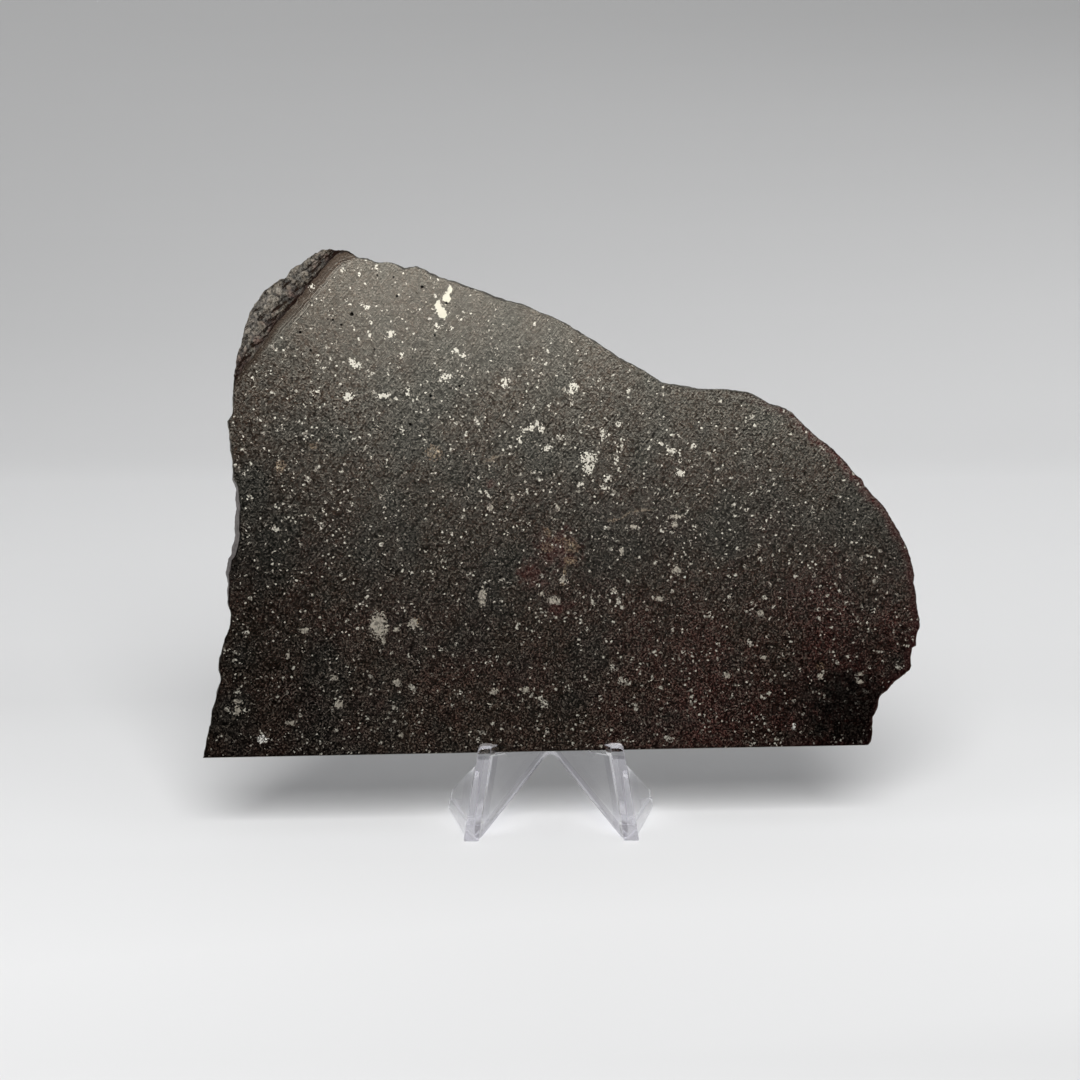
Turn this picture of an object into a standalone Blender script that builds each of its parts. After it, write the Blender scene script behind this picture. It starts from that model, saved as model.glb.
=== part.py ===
# A sawn slice of a stony meteorite, standing on its straight cut edge in a small clear moulded easel.
# Metres, +Z up, the sawn face towards -Y. The origin is on the table, under the middle of the whole object.
import math

import bmesh
import bpy
from mathutils import Euler, Vector, noise

MM = 0.001

# The slab: how thick it is, and how it stands in the easel.
SLAB_THICKNESS = 4.5 * MM
LEAN = math.radians(12.0)
YAW = math.radians(2.9)
SLAB_FOOT = Vector((0.0, 4.3, 17.45)) * MM  # its front bottom edge, over the middle of the easel
EDGE_STEP = 1.6 * MM  # spacing of the points along its natural edges
SAWN_STEP = 9.0 * MM  # spacing of the points along its sawn edge

# The broken strip at its upper left, and the side that bulges out behind the face at its left.
STRIP_DEPTH = 1.0 * MM
STRIP_ROUGHNESS = 0.35 * MM
STRIP_ROUGH_GROWTH = 10.0  # it is fully rough from a tenth of the way across
STRIP_GRAIN = 1.1 * MM
STRIP_FULL_WIDTH = 2.5 * MM  # where the strip is narrower than this, it is shallower too
SIDE_GRAIN = 2.4 * MM
BULGE_LEFT_OF = -55.0 * MM
BULGE_OUT = 1.1 * MM
BULGE_HEIGHT = 44.0 * MM
BULGE_REACH = 13.0 * MM

# The easel, in its own frame: x from its middle, y back from the front of its feet, z up from the table.
FOOT_OUT = 16.05 * MM  # the middle of a foot, from the easel's middle
LIP_OUT = 13.2 * MM
FOOT_WIDTH = 3.1 * MM
FOOT_HEIGHT = 3.5 * MM
FOOT_DEPTH = 4.0 * MM
POST_WIDTH = 2.8 * MM
POST_FRONT = 0.2 * MM
POST_DEPTH = 4.6 * MM
LIP_THICKNESS = 3.2 * MM
WEB_START = 1.6 * MM  # how far back the web's and the wing's middle planes meet the post
LIP_TOP = 19.4 * MM
LIP_ROUND = 1.2 * MM
LEDGE_HEIGHT = 17.1 * MM  # at the back of the lip
SLOT_WIDTH = 6.7 * MM
WEB_THICKNESS = 2.6 * MM
ARCH_HEIGHT = 10.3 * MM  # under the apex where the two webs meet
ARCH_FLAT = 2.2 * MM  # half the flat at the arch's apex
ARCH_BACK = 24.0 * MM  # how far back the webs are at the side of that flat
BACKREST_TOP = 48.0 * MM
WING_THICKNESS = 1.8 * MM
WING_HIGH = 14.8 * MM
WING_LOW = 4.1 * MM
WING_LENGTH = 20.9 * MM
WING_SPREAD = 0.22  # outwards for each metre back
WING_LEAN = 0.12  # inwards for each metre up
RAIL_WIDTH = 2.2 * MM
RAIL_HIGH = 3.45 * MM
RAIL_LOW = 2.4 * MM

# The slab's outline in millimetres on its sawn face: right of the easel's middle, and up from the sawn edge.
SAWN_EDGE = ((-69.4, 0.0), (64.2, 0.0))
RIGHT_EDGE = (
    (64.8, 0.7), (65.1, 2.7), (65.3, 5.5), (66.3, 7.7), (66.8, 9.7), (68.7, 11.4), (69.1, 12.2),
    (71.4, 13.9), (72.9, 15.0), (73.2, 15.8), (73.3, 18.1), (73.5, 19.6), (74.2, 19.9), (74.5, 22.0),
    (75.1, 23.7), (75.0, 25.4), (74.5, 29.4), (73.9, 32.8), (74.2, 33.9), (74.1, 34.9), (73.5, 37.6),
)
TOP_EDGE = (
    (72.6, 39.9), (71.2, 42.9), (69.8, 45.6), (68.3, 48.1), (66.1, 50.3), (64.4, 52.3), (63.7, 53.8),
    (62.0, 55.2), (60.1, 57.7), (58.1, 59.9), (55.0, 62.2), (52.8, 64.3), (51.3, 65.6), (50.1, 67.0),
    (48.7, 68.1), (46.2, 68.9), (44.0, 69.9), (41.6, 71.4), (38.2, 72.2), (31.1, 72.4), (26.1, 73.3),
    (23.6, 73.7), (20.7, 75.8), (15.1, 78.9), (10.5, 82.0), (5.3, 85.2), (1.5, 87.4), (-1.9, 88.7),
    (-4.5, 89.9), (-8.9, 91.1), (-12.8, 92.7), (-15.8, 93.7), (-18.5, 94.7), (-21.1, 95.5),
    (-23.6, 96.9), (-25.4, 97.6), (-27.6, 97.2), (-29.7, 98.1), (-31.3, 98.5), (-33.6, 98.6),
    (-35.3, 99.3), (-37.1, 99.4), (-38.8, 100.6),
)
STRIP_OUTER_EDGE = (
    (-40.1, 101.1), (-43.1, 101.3), (-44.3, 101.4), (-47.0, 99.7), (-48.3, 98.4), (-50.4, 97.4),
    (-51.7, 95.8), (-54.2, 94.4), (-55.8, 93.1), (-57.8, 90.7), (-58.9, 88.7), (-59.9, 85.9),
    (-60.7, 82.9), (-61.5, 80.4), (-62.2, 76.2),
)
STRIP_INNER_EDGE = (
    (-39.9, 100.5), (-41.3, 100.0), (-43.0, 98.2), (-45.8, 95.2), (-47.6, 93.2), (-49.5, 90.8),
    (-52.3, 87.8), (-53.8, 86.2), (-55.2, 83.9), (-56.7, 82.1), (-57.8, 80.4), (-59.0, 79.1),
    (-60.6, 77.0), (-61.6, 75.8),
)
LEFT_EDGE = (
    (-62.3, 73.2), (-62.5, 70.4), (-62.6, 68.4), (-63.5, 67.0), (-63.2, 63.2), (-63.0, 60.9),
    (-62.7, 58.1), (-62.8, 55.5), (-62.2, 53.7), (-62.2, 49.7), (-62.6, 47.3), (-62.5, 44.1),
    (-63.1, 41.3), (-63.9, 39.4), (-64.4, 37.2), (-64.2, 33.8), (-64.0, 30.3), (-63.5, 28.2),
    (-63.7, 26.3), (-64.9, 23.4), (-65.8, 19.7), (-66.0, 17.5), (-65.7, 15.7), (-66.5, 12.5),
    (-67.5, 9.3), (-67.8, 6.9), (-68.7, 3.5), (-69.4, 0.0),
)

# Rings from the face's edge round the rim to the back: how deep each lies, how far in from the outline on a
# natural edge, and, for the broken strip, how far across it and how deep.
RIM_RINGS = (
    {"depth": 0.0, "inset": 0.32, "across": 0.0, "stripDepth": 0.0},
    {"depth": 0.12, "inset": 0.2, "across": 0.09, "stripDepth": 0.95},
    {"depth": 0.3, "inset": 0.12, "across": 0.36, "stripDepth": 0.7},
    {"depth": 0.55, "inset": 0.06, "across": 0.68, "stripDepth": 0.9},
    {"depth": 1.0, "inset": 0.0, "across": 1.0, "stripDepth": 1.3},
)
SIDE_RINGS = (
    {"depth": 2.1, "inset": 0.0, "rough": 0.22},
    {"depth": 3.3, "inset": 0.05, "rough": 0.25},
    {"depth": 4.5, "inset": 0.3, "rough": 0.12},
)


def clearScene():
    for thing in list(bpy.data.objects):
        bpy.data.objects.remove(thing, do_unlink=True)


def makeMaterial(name, colour, roughness, transmission=0.0, ior=1.5):
    material = bpy.data.materials.new(name)
    material.use_nodes = True
    shader = material.node_tree.nodes["Principled BSDF"]
    shader.inputs["Base Color"].default_value = (*colour, 1.0)
    shader.inputs["Roughness"].default_value = roughness
    shader.inputs["Transmission Weight"].default_value = transmission
    shader.inputs["IOR"].default_value = ior
    return material


def addObject(name, shape, material=None):
    bmesh.ops.recalc_face_normals(shape, faces=shape.faces)
    mesh = bpy.data.meshes.new(name)
    shape.to_mesh(mesh)
    shape.free()
    thing = bpy.data.objects.new(name, mesh)
    bpy.context.collection.objects.link(thing)
    if material:
        mesh.materials.append(material)
    return thing


def pointsAlong(corners, count):
    """Evenly spaced points, both ends among them, along a line whose corners are in millimetres."""
    corners = [Vector(corner) * MM for corner in corners]
    lengths = [(b - a).length for a, b in zip(corners, corners[1:])]
    total = sum(lengths)
    points = []
    for i in range(count):
        left = total * i / (count - 1)
        for a, b, length in zip(corners, corners[1:], lengths):
            if left <= length:
                break
            left -= length
        points.append(a.lerp(b, min(left / length, 1.0)))
    return points


def stretch(corners, step):
    corners = [Vector(corner) * MM for corner in corners]
    return max(2, 1 + round(sum((b - a).length for a, b in zip(corners, corners[1:])) / step))


def slabOutline():
    """The slab's outline, counterclockwise from the front, with the strip's inner edge beside its outer."""
    sawn = pointsAlong(SAWN_EDGE, stretch(SAWN_EDGE, SAWN_STEP))
    right = pointsAlong(RIGHT_EDGE, stretch(RIGHT_EDGE, EDGE_STEP))
    top = pointsAlong(TOP_EDGE, stretch(TOP_EDGE, EDGE_STEP))
    strip = pointsAlong(STRIP_OUTER_EDGE, stretch(STRIP_OUTER_EDGE, EDGE_STEP))
    inner = pointsAlong(STRIP_INNER_EDGE, len(strip))
    left = pointsAlong(LEFT_EDGE, stretch(LEFT_EDGE, EDGE_STEP))[:-1]
    outline = [{"point": p, "kind": "sawn", "inner": p} for p in sawn]
    outline += [{"point": p, "kind": "natural", "inner": p} for p in right + top]
    outline += [{"point": p, "kind": "strip", "inner": q} for p, q in zip(strip, inner)]
    outline += [{"point": p, "kind": "natural", "inner": p} for p in left]
    count = len(outline)
    for i, spot in enumerate(outline):
        along = (outline[(i + 1) % count]["point"] - outline[i - 1]["point"]).normalized()
        spot["out"] = Vector((along.y, -along.x))
        if spot["kind"] == "sawn":
            spot["out"] = Vector((0.0, 0.0))
    outline[0]["out"] = Vector((-1.0, 0.0))
    outline[len(sawn) - 1]["out"] = Vector((1.0, 0.0))
    return outline


def bulge(spot):
    """0 to 1: how much the side swells out behind the face here, which it does only on the left edge."""
    if spot["point"].x > BULGE_LEFT_OF or spot["kind"] != "natural":
        return 0.0
    reach = (spot["point"].y - BULGE_HEIGHT) / BULGE_REACH
    return max(0.0, 1.0 - reach * reach)


def stripPoint(spot, ring):
    """A point of the broken strip, which drops into a groove at its inner edge and then runs out rough."""
    across = spot["point"] - spot["inner"]
    flat = spot["inner"] + across * ring["across"]
    rough = STRIP_ROUGHNESS * noise.noise(Vector((flat.x, flat.y, ring["across"] * MM)) / STRIP_GRAIN)
    sunk = ring["stripDepth"] * STRIP_DEPTH + rough * min(1.0, ring["across"] * STRIP_ROUGH_GROWTH)
    share = min(1.0, across.length / STRIP_FULL_WIDTH)
    return flat.x, ring["depth"] * MM * (1.0 - share) + max(sunk, 0.0) * share, flat.y


def rimPoint(spot, ring):
    """A point of one of the rings between the face and the middle of the rim, as x, depth and height."""
    if spot["kind"] == "strip":
        return stripPoint(spot, ring)
    swell = BULGE_OUT * bulge(spot) * (1.0 - ring["depth"] / SIDE_RINGS[0]["depth"])
    flat = spot["point"] - spot["out"] * (ring["inset"] * MM + swell)
    return flat.x, ring["depth"] * MM, flat.y


def sidePoint(spot, ring):
    point = spot["point"]
    rough = ring["rough"] * noise.noise(Vector((point.x, point.y, ring["depth"] * MM)) / SIDE_GRAIN)
    if spot["kind"] == "sawn":
        rough = 0.0
    flat = point - spot["out"] * (ring["inset"] + rough) * MM
    return flat.x, ring["depth"] / SIDE_RINGS[-1]["depth"] * SLAB_THICKNESS, flat.y


def makeSlice(material):
    """One stone: a flat face, natural sides with a broken strip, a sawn bottom edge and a flat back."""
    outline = slabOutline()
    shape = bmesh.new()
    rings = [[shape.verts.new(rimPoint(spot, ring)) for spot in outline] for ring in RIM_RINGS]
    rings += [[shape.verts.new(sidePoint(spot, ring)) for spot in outline] for ring in SIDE_RINGS]
    count = len(outline)
    for front, behind in zip(rings, rings[1:]):
        for i in range(count):
            after = (i + 1) % count
            shape.faces.new((front[i], front[after], behind[after], behind[i]))
    face = shape.faces.new(rings[0])
    back = shape.faces.new(reversed(rings[-1]))
    shape.normal_update()
    bmesh.ops.triangulate(shape, faces=[face, back])
    thing = addObject("slice", shape, material)
    thing.rotation_euler = Euler((-LEAN, 0.0, YAW))
    thing.location = SLAB_FOOT
    return thing


def plate(name, corners, thickness):
    """A flat plate: its corners lie in its middle plane, and its thickness is a vector."""
    shape = bmesh.new()
    near = [shape.verts.new(corner - thickness / 2.0) for corner in corners]
    far = [shape.verts.new(corner + thickness / 2.0) for corner in corners]
    count = len(corners)
    for i in range(count):
        after = (i + 1) % count
        shape.faces.new((near[i], near[after], far[after], far[i]))
    shape.faces.new(reversed(near))
    shape.faces.new(far)
    return addObject(name, shape)


def postX(height):
    """The post leans inwards from the foot to the lip, so its middle depends on the height."""
    return FOOT_OUT + (LIP_OUT - FOOT_OUT) * height / LIP_TOP


def webPoint(x, z):
    """The web is a flat plate through the post's middle line and the arch's apex."""
    backPerIn = (ARCH_BACK - WEB_START) / (postX(ARCH_HEIGHT) - ARCH_FLAT)
    return Vector((x, WEB_START + (postX(z) - x) * backPerIn, z))


def makeFoot():
    middle = FOOT_DEPTH / 2.0
    half = FOOT_WIDTH / 2.0
    corners = [
        Vector((FOOT_OUT - half, middle, 0.0)),
        Vector((FOOT_OUT + half, middle, 0.0)),
        Vector((postX(FOOT_HEIGHT) + half, middle, FOOT_HEIGHT)),
        Vector((postX(FOOT_HEIGHT) - half, middle, FOOT_HEIGHT)),
    ]
    return plate("foot", corners, Vector((0.0, FOOT_DEPTH, 0.0)))


def makePost():
    """The front post, whose top is the lip. The lip's outer corner is round."""
    middle = POST_FRONT + POST_DEPTH / 2.0
    half = POST_WIDTH / 2.0
    base = 1.0 * MM
    corners = [
        Vector((postX(base) - half, middle, base)),
        Vector((postX(base) + half, middle, base)),
    ]
    for step in range(5):
        angle = math.radians(90.0 * step / 4.0)
        outer = postX(LIP_TOP) + half - LIP_ROUND * (1.0 - math.cos(angle))
        corners.append(Vector((outer, middle, LIP_TOP - LIP_ROUND * (1.0 - math.sin(angle)))))
    corners.append(Vector((postX(LIP_TOP) - half, middle, LIP_TOP)))
    return plate("post", corners, Vector((0.0, POST_DEPTH, 0.0)))


def makeWeb():
    """The plate that runs from the post in and back to the apex, and up to the backrest's top."""
    past = 2.5 * MM  # over the middle, where the half is cut
    forward = 2.0 * MM  # into the slot, which is cut out of it
    toe = 1.0 * MM
    rise = 2.0 * MM
    underTop = 1.0 * MM
    corners = [
        webPoint(FOOT_OUT, 0.0),
        webPoint(FOOT_OUT - toe, 0.0),
        webPoint(ARCH_FLAT, ARCH_HEIGHT),
        webPoint(-past, ARCH_HEIGHT),
        webPoint(-past, BACKREST_TOP),
        webPoint(backrestX(BACKREST_TOP) + forward, BACKREST_TOP),
        webPoint(backrestX(LEDGE_HEIGHT) + forward, LEDGE_HEIGHT + rise),
        webPoint(postX(LIP_TOP), LIP_TOP - underTop),
    ]
    across = (corners[0] - corners[3]).cross(Vector((0.0, 0.0, 1.0))).normalized()
    return plate("web", corners, across * WEB_THICKNESS)


def backrestX(height):
    """Where the web's middle plane meets the slot's back at this height."""
    slotBack = LIP_THICKNESS + SLOT_WIDTH / math.cos(LEAN) + (height - LEDGE_HEIGHT) * math.tan(LEAN)
    start, end = webPoint(0.0, height), webPoint(FOOT_OUT, height)
    return FOOT_OUT * (start.y - slotBack) / (start.y - end.y)


def wingPoint(y, z):
    return Vector((FOOT_OUT + (y - WEB_START) * WING_SPREAD - z * WING_LEAN, y, z))


def makeWing():
    """The low triangular plate that runs back and outwards from the post."""
    highEnd = 3.0 * MM
    corners = [
        wingPoint(WEB_START, 0.0),
        wingPoint(WING_LENGTH, 0.0),
        wingPoint(WING_LENGTH, WING_LOW),
        wingPoint(highEnd, WING_HIGH),
        wingPoint(WEB_START, WING_HIGH),
    ]
    return plate("wing", corners, Vector((WING_THICKNESS, 0.0, 0.0)))


def makeRail():
    """The thicker rail along the bottom of the wing."""
    start = 0.5 * MM
    end = WING_LENGTH + 0.3 * MM
    corners = [
        wingPoint(start, 0.0),
        wingPoint(end, 0.0),
        wingPoint(end, RAIL_LOW),
        wingPoint(start, RAIL_HIGH),
    ]
    return plate("rail", corners, Vector((RAIL_WIDTH, 0.0, 0.0)))


def makeSlotCutter():
    """The slot that the slab stands in: it leans with the slab, and its bottom is the ledge."""
    height = 45.0 * MM
    half = 30.0 * MM
    back = Vector((0.0, math.cos(LEAN), -math.sin(LEAN)))
    up = Vector((0.0, math.sin(LEAN), math.cos(LEAN)))
    corner = Vector((0.0, LIP_THICKNESS, LEDGE_HEIGHT))
    corners = [
        corner,
        corner + back * SLOT_WIDTH,
        corner + back * SLOT_WIDTH + up * height,
        corner + up * height,
    ]
    return plate("slot", corners, Vector((2.0 * half, 0.0, 0.0)))


def combine(thing, other, operation):
    modifier = thing.modifiers.new(other.name, "BOOLEAN")
    modifier.object = other
    modifier.operation = operation
    modifier.solver = "EXACT"
    other.hide_render = True
    other.display_type = "WIRE"


def makeEasel(material):
    """One moulded piece, the same on both sides: a half is made and cut at the middle, then mirrored."""
    half = makeWeb()
    for other in (makePost(), makeFoot(), makeWing(), makeRail()):
        combine(half, other, "UNION")
    combine(half, makeSlotCutter(), "DIFFERENCE")
    bpy.context.view_layer.update()
    solid = half.evaluated_get(bpy.context.evaluated_depsgraph_get())
    shape = bmesh.new()
    shape.from_mesh(solid.to_mesh())
    solid.to_mesh_clear()
    bmesh.ops.bisect_plane(
        shape,
        geom=shape.verts[:] + shape.edges[:] + shape.faces[:],
        dist=0.01 * MM,
        plane_co=(0.0, 0.0, 0.0),
        plane_no=(-1.0, 0.0, 0.0),
        clear_outer=True,
    )
    helpers = [half] + [modifier.object for modifier in half.modifiers]
    for helper in helpers:
        bpy.data.objects.remove(helper, do_unlink=True)
    easel = addObject("easel", shape, material)
    mirror = easel.modifiers.new("other side", "MIRROR")
    mirror.merge_threshold = 0.00001
    return easel


def standOnOrigin(things):
    """Moves everything so that the whole object's box stands on the origin, with its middle over it."""
    bpy.context.view_layer.update()
    graph = bpy.context.evaluated_depsgraph_get()
    corners = []
    for thing in things:
        solid = thing.evaluated_get(graph)
        mesh = solid.to_mesh()
        corners += [solid.matrix_world @ vertex.co for vertex in mesh.vertices]
        solid.to_mesh_clear()
    low = Vector([min(corner[axis] for corner in corners) for axis in range(3)])
    high = Vector([max(corner[axis] for corner in corners) for axis in range(3)])
    shift = Vector((-(low.x + high.x) / 2.0, -(low.y + high.y) / 2.0, -low.z))
    for thing in things:
        thing.location += shift


def main():
    clearScene()
    stone = makeMaterial("chondrite", (0.055, 0.047, 0.038), 0.5)
    acrylic = makeMaterial("clear acrylic", (0.95, 0.96, 0.97), 0.04, transmission=1.0, ior=1.49)
    standOnOrigin([makeSlice(stone), makeEasel(acrylic)])


main()
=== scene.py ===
import math
import random

import bmesh
import bpy
from mathutils import Euler, Matrix, Vector, noise
from mathutils.geometry import delaunay_2d_cdt
from mathutils.kdtree import KDTree


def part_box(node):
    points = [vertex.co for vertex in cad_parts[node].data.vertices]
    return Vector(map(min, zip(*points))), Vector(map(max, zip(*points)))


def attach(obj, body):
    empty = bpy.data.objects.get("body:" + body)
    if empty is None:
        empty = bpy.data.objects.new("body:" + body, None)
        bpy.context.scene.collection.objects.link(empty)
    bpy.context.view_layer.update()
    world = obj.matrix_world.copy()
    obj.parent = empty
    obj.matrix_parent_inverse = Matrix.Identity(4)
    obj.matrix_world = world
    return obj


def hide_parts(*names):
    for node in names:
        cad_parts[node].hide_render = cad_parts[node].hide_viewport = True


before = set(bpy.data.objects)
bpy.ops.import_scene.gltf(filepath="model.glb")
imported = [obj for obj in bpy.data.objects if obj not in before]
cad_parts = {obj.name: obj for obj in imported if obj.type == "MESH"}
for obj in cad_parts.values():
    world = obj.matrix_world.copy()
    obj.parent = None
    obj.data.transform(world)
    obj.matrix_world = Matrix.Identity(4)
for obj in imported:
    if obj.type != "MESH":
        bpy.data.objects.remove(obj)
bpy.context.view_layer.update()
easelLow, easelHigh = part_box("easel")
easelPlace = Vector(((easelLow.x + easelHigh.x) / 2.0, easelLow.y, 0.0))  # its front middle, on the table
mm = 0.001


def addNode(tree, kind, **settings):
    node = tree.nodes.new(kind)
    for name, value in settings.items():
        setattr(node, name, value)
    return node


def plug(tree, source, target):
    # a number or colour is set on the socket, and anything else is wired to it
    if isinstance(source, (int, float, tuple)):
        target.default_value = source
    else:
        tree.links.new(source, target)


def mathOf(tree, operation, first, second=0.0, third=0.0, clamp=False):
    node = addNode(tree, "ShaderNodeMath", operation=operation, use_clamp=clamp)
    for socket, value in zip(node.inputs, (first, second, third)):
        plug(tree, value, socket)
    return node.outputs[0]


def chained(operation):
    # one operation over any number of values, two at a time
    def chain(tree, first, *others, clamp=False):
        for other in others:
            first = mathOf(tree, operation, first, other, clamp=clamp)
        return first

    return chain


times, plus, highest = chained("MULTIPLY"), chained("ADD"), chained("MAXIMUM")


def timesPlus(tree, value, factor, extra):
    return mathOf(tree, "MULTIPLY_ADD", value, factor, extra)


def without(tree, share):
    return mathOf(tree, "SUBTRACT", 1.0, share)


def swing(tree, value, reach):
    # from 0 to 1 becomes from -reach to reach
    return timesPlus(tree, value, 2.0 * reach, -reach)


def vectorOf(tree, operation, first, second):
    node = addNode(tree, "ShaderNodeVectorMath", operation=operation)
    plug(tree, first, node.inputs[0])
    plug(tree, second, node.inputs["Scale" if operation == "SCALE" else 1])
    return node.outputs[0]


def rampOf(tree, value, low, high, outLow=0.0, outHigh=1.0):
    # smooth step from outLow to outHigh while value goes from low to high
    node = addNode(tree, "ShaderNodeMapRange", interpolation_type="SMOOTHSTEP")
    ends = {"Value": value, "From Min": low, "From Max": high, "To Min": outLow, "To Max": outHigh}
    for name, given in ends.items():
        plug(tree, given, node.inputs[name])
    return node.outputs[0]


def mixOf(tree, factor, first, second):
    node = addNode(tree, "ShaderNodeMix", data_type="RGBA")
    plug(tree, factor, node.inputs["Factor"])
    plug(tree, first, node.inputs[6])
    plug(tree, second, node.inputs[7])
    return node.outputs[2]


def layered(tree, colour, *layers):
    # each layer is a mask and the colour that it lays over what came before
    for mask, tint in layers:
        colour = mixOf(tree, mask, colour, tint)
    return colour


def noiseOf(tree, place, size, detail=2.0, roughness=0.5, output="Fac"):
    # size is the width of one swell in the place's own unit
    node = addNode(tree, "ShaderNodeTexNoise")
    plug(tree, place, node.inputs["Vector"])
    node.inputs["Scale"].default_value = 1.0 / size
    node.inputs["Detail"].default_value = detail
    node.inputs["Roughness"].default_value = roughness
    return node.outputs[output]


def newGroup(name, inputs, outputs):
    # an input with no value is a place, and an output called Colour is a colour
    group = bpy.data.node_groups.new(name, "ShaderNodeTree")
    for label, value in inputs.items():
        kind = "NodeSocketVector" if value is None else "NodeSocketFloat"
        socket = group.interface.new_socket(name=label, in_out="INPUT", socket_type=kind)
        if value is not None:
            socket.default_value = value
    for label in outputs:
        kind = "NodeSocketColor" if label == "Colour" else "NodeSocketFloat"
        group.interface.new_socket(name=label, in_out="OUTPUT", socket_type=kind)
    return group, group.nodes.new("NodeGroupInput"), group.nodes.new("NodeGroupOutput")


def placeGroup(tree, group, **values):
    node = addNode(tree, "ShaderNodeGroup", node_tree=group)
    for name, value in values.items():
        plug(tree, value, node.inputs[name])
    return node


def newMaterial(name):
    material = bpy.data.materials.new(name)
    material.use_nodes = True
    tree = material.node_tree
    return material, tree, tree.nodes["Principled BSDF"]


def millimetres(tree):
    # the piece's own coordinates, in millimetres
    place = addNode(tree, "ShaderNodeTexCoord").outputs["Object"]
    return vectorOf(tree, "SCALE", place, 1000.0)


def sidesOf(tree, place):
    # its x, y and z
    node = addNode(tree, "ShaderNodeSeparateXYZ")
    plug(tree, place, node.inputs[0])
    return node.outputs


def slanted(tree, place, degrees, stretch):
    # the place turned about y, and stretched
    node = addNode(tree, "ShaderNodeMapping", vector_type="TEXTURE")
    plug(tree, place, node.inputs["Vector"])
    node.inputs["Rotation"].default_value = (0.0, math.radians(degrees), 0.0)
    node.inputs["Scale"].default_value = stretch
    return node.outputs[0]


def addBump(tree, shader, height, strength, distance):
    node = addNode(tree, "ShaderNodeBump")
    node.inputs["Strength"].default_value = strength
    node.inputs["Distance"].default_value = distance
    plug(tree, height, node.inputs["Height"])
    plug(tree, node.outputs[0], shader.inputs["Normal"])


def addPiece(name, shape, materials, smoothTo=None):
    # a finished bmesh as an object, shaded smooth up to that many degrees between two faces
    mesh = bpy.data.meshes.new(name)
    shape.to_mesh(mesh)
    shape.free()
    if smoothTo is not None:
        mesh.validate()
        mesh.shade_smooth()
        mesh.set_sharp_from_angle(angle=math.radians(smoothTo))
    for material in materials:
        mesh.materials.append(material)
    piece = bpy.data.objects.new(name, mesh)
    bpy.context.collection.objects.link(piece)
    return piece


stone = {
    "thickness": 4.5,
    "lean": 12.0,
    "yaw": 2.9,
    "foot": (0.0, 4.3, 17.45),  # its front bottom edge, over the middle of the easel
    "edgeStep": 0.45,
    "faceStep": 1.4,
    "backStep": 2.6,
    "bandStep": 0.45,
    "stripStep": 0.22,
    "stepJag": 0.3,
    "stepJagSize": 1.4,
    "fineStepJag": 0.14,
    "fineStepJagSize": 0.5,
    "jagSize": 1.3,
    "jagDepth": 0.15,
    "fineJagSize": 0.5,
    "fineJagDepth": 0.08,
    "brokenJag": 1.9,
    "sideGrain": 2.4,
    "sideRough": 0.3,
    "bulgeOut": 1.1,
    "bulgeHeight": 44.0,
    "bulgeReach": 13.0,
    "bulgeLeftOf": -55.0,
    "bulgeBack": 2.1,
    "stripRight": -30.0,  # the broken strip lies left of this and above the next
    "stripLow": 66.0,
    "farAway": 20.0,
    "noMark": 2.0,
}

# right of the easel's middle and up from the sawn edge, on the face
sawnEdge = ((-69.4, 0.0), (64.2, 0.0))
rightEdge = (
    (64.2, 0.0), (64.8, 0.7), (65.1, 2.7), (65.3, 5.5), (66.3, 7.7), (66.8, 9.7), (68.7, 11.4),
    (69.1, 12.2), (71.4, 13.9), (72.9, 15.0), (73.2, 15.8), (73.3, 18.1), (73.5, 19.6), (74.2, 19.9),
    (74.5, 22.0), (75.1, 23.7), (75.0, 25.4), (74.5, 29.4), (73.9, 32.8), (74.2, 33.9), (74.1, 34.9),
    (73.5, 37.6),
)
topEdge = (
    (73.5, 37.6), (72.6, 39.9), (71.2, 42.9), (69.8, 45.6), (68.3, 48.1), (66.1, 50.3), (64.4, 52.3),
    (63.7, 53.8), (62.0, 55.2), (60.1, 57.7), (58.1, 59.9), (55.0, 62.2), (52.8, 64.3), (51.3, 65.6),
    (50.1, 67.0), (48.7, 68.1), (46.2, 68.9), (44.0, 69.9), (41.6, 71.4), (38.2, 72.2), (31.1, 72.4),
    (26.1, 73.3), (23.6, 73.7), (20.7, 75.8), (15.1, 78.9), (10.5, 82.0), (5.3, 85.2), (1.5, 87.4),
    (-1.9, 88.7), (-4.5, 89.9), (-8.9, 91.1), (-12.8, 92.7), (-15.8, 93.7), (-18.5, 94.7), (-21.1, 95.5),
    (-23.6, 96.9), (-25.4, 97.6), (-27.6, 97.2), (-29.7, 98.1), (-31.3, 98.5), (-33.6, 98.6), (-35.3, 99.3),
    (-37.1, 99.4), (-38.8, 100.6), (-40.1, 101.1),
)
stripOuterEdge = (
    (-40.1, 101.1), (-43.1, 101.3), (-44.3, 101.4), (-47.0, 99.7), (-48.3, 98.4), (-50.4, 97.4),
    (-51.7, 95.8), (-54.2, 94.4), (-55.8, 93.1), (-57.8, 90.7), (-58.9, 88.7), (-59.9, 85.9), (-60.7, 82.9),
    (-61.5, 80.4), (-62.2, 76.2),
)
stripInnerEdge = (
    (-39.9, 100.5), (-41.3, 100.0), (-43.0, 98.2), (-45.8, 95.2), (-47.6, 93.2), (-49.5, 90.8),
    (-52.3, 87.8), (-53.8, 86.2), (-55.2, 83.9), (-56.7, 82.1), (-57.8, 80.4), (-59.0, 79.1), (-60.6, 77.0),
    (-61.6, 75.8),
)
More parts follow.
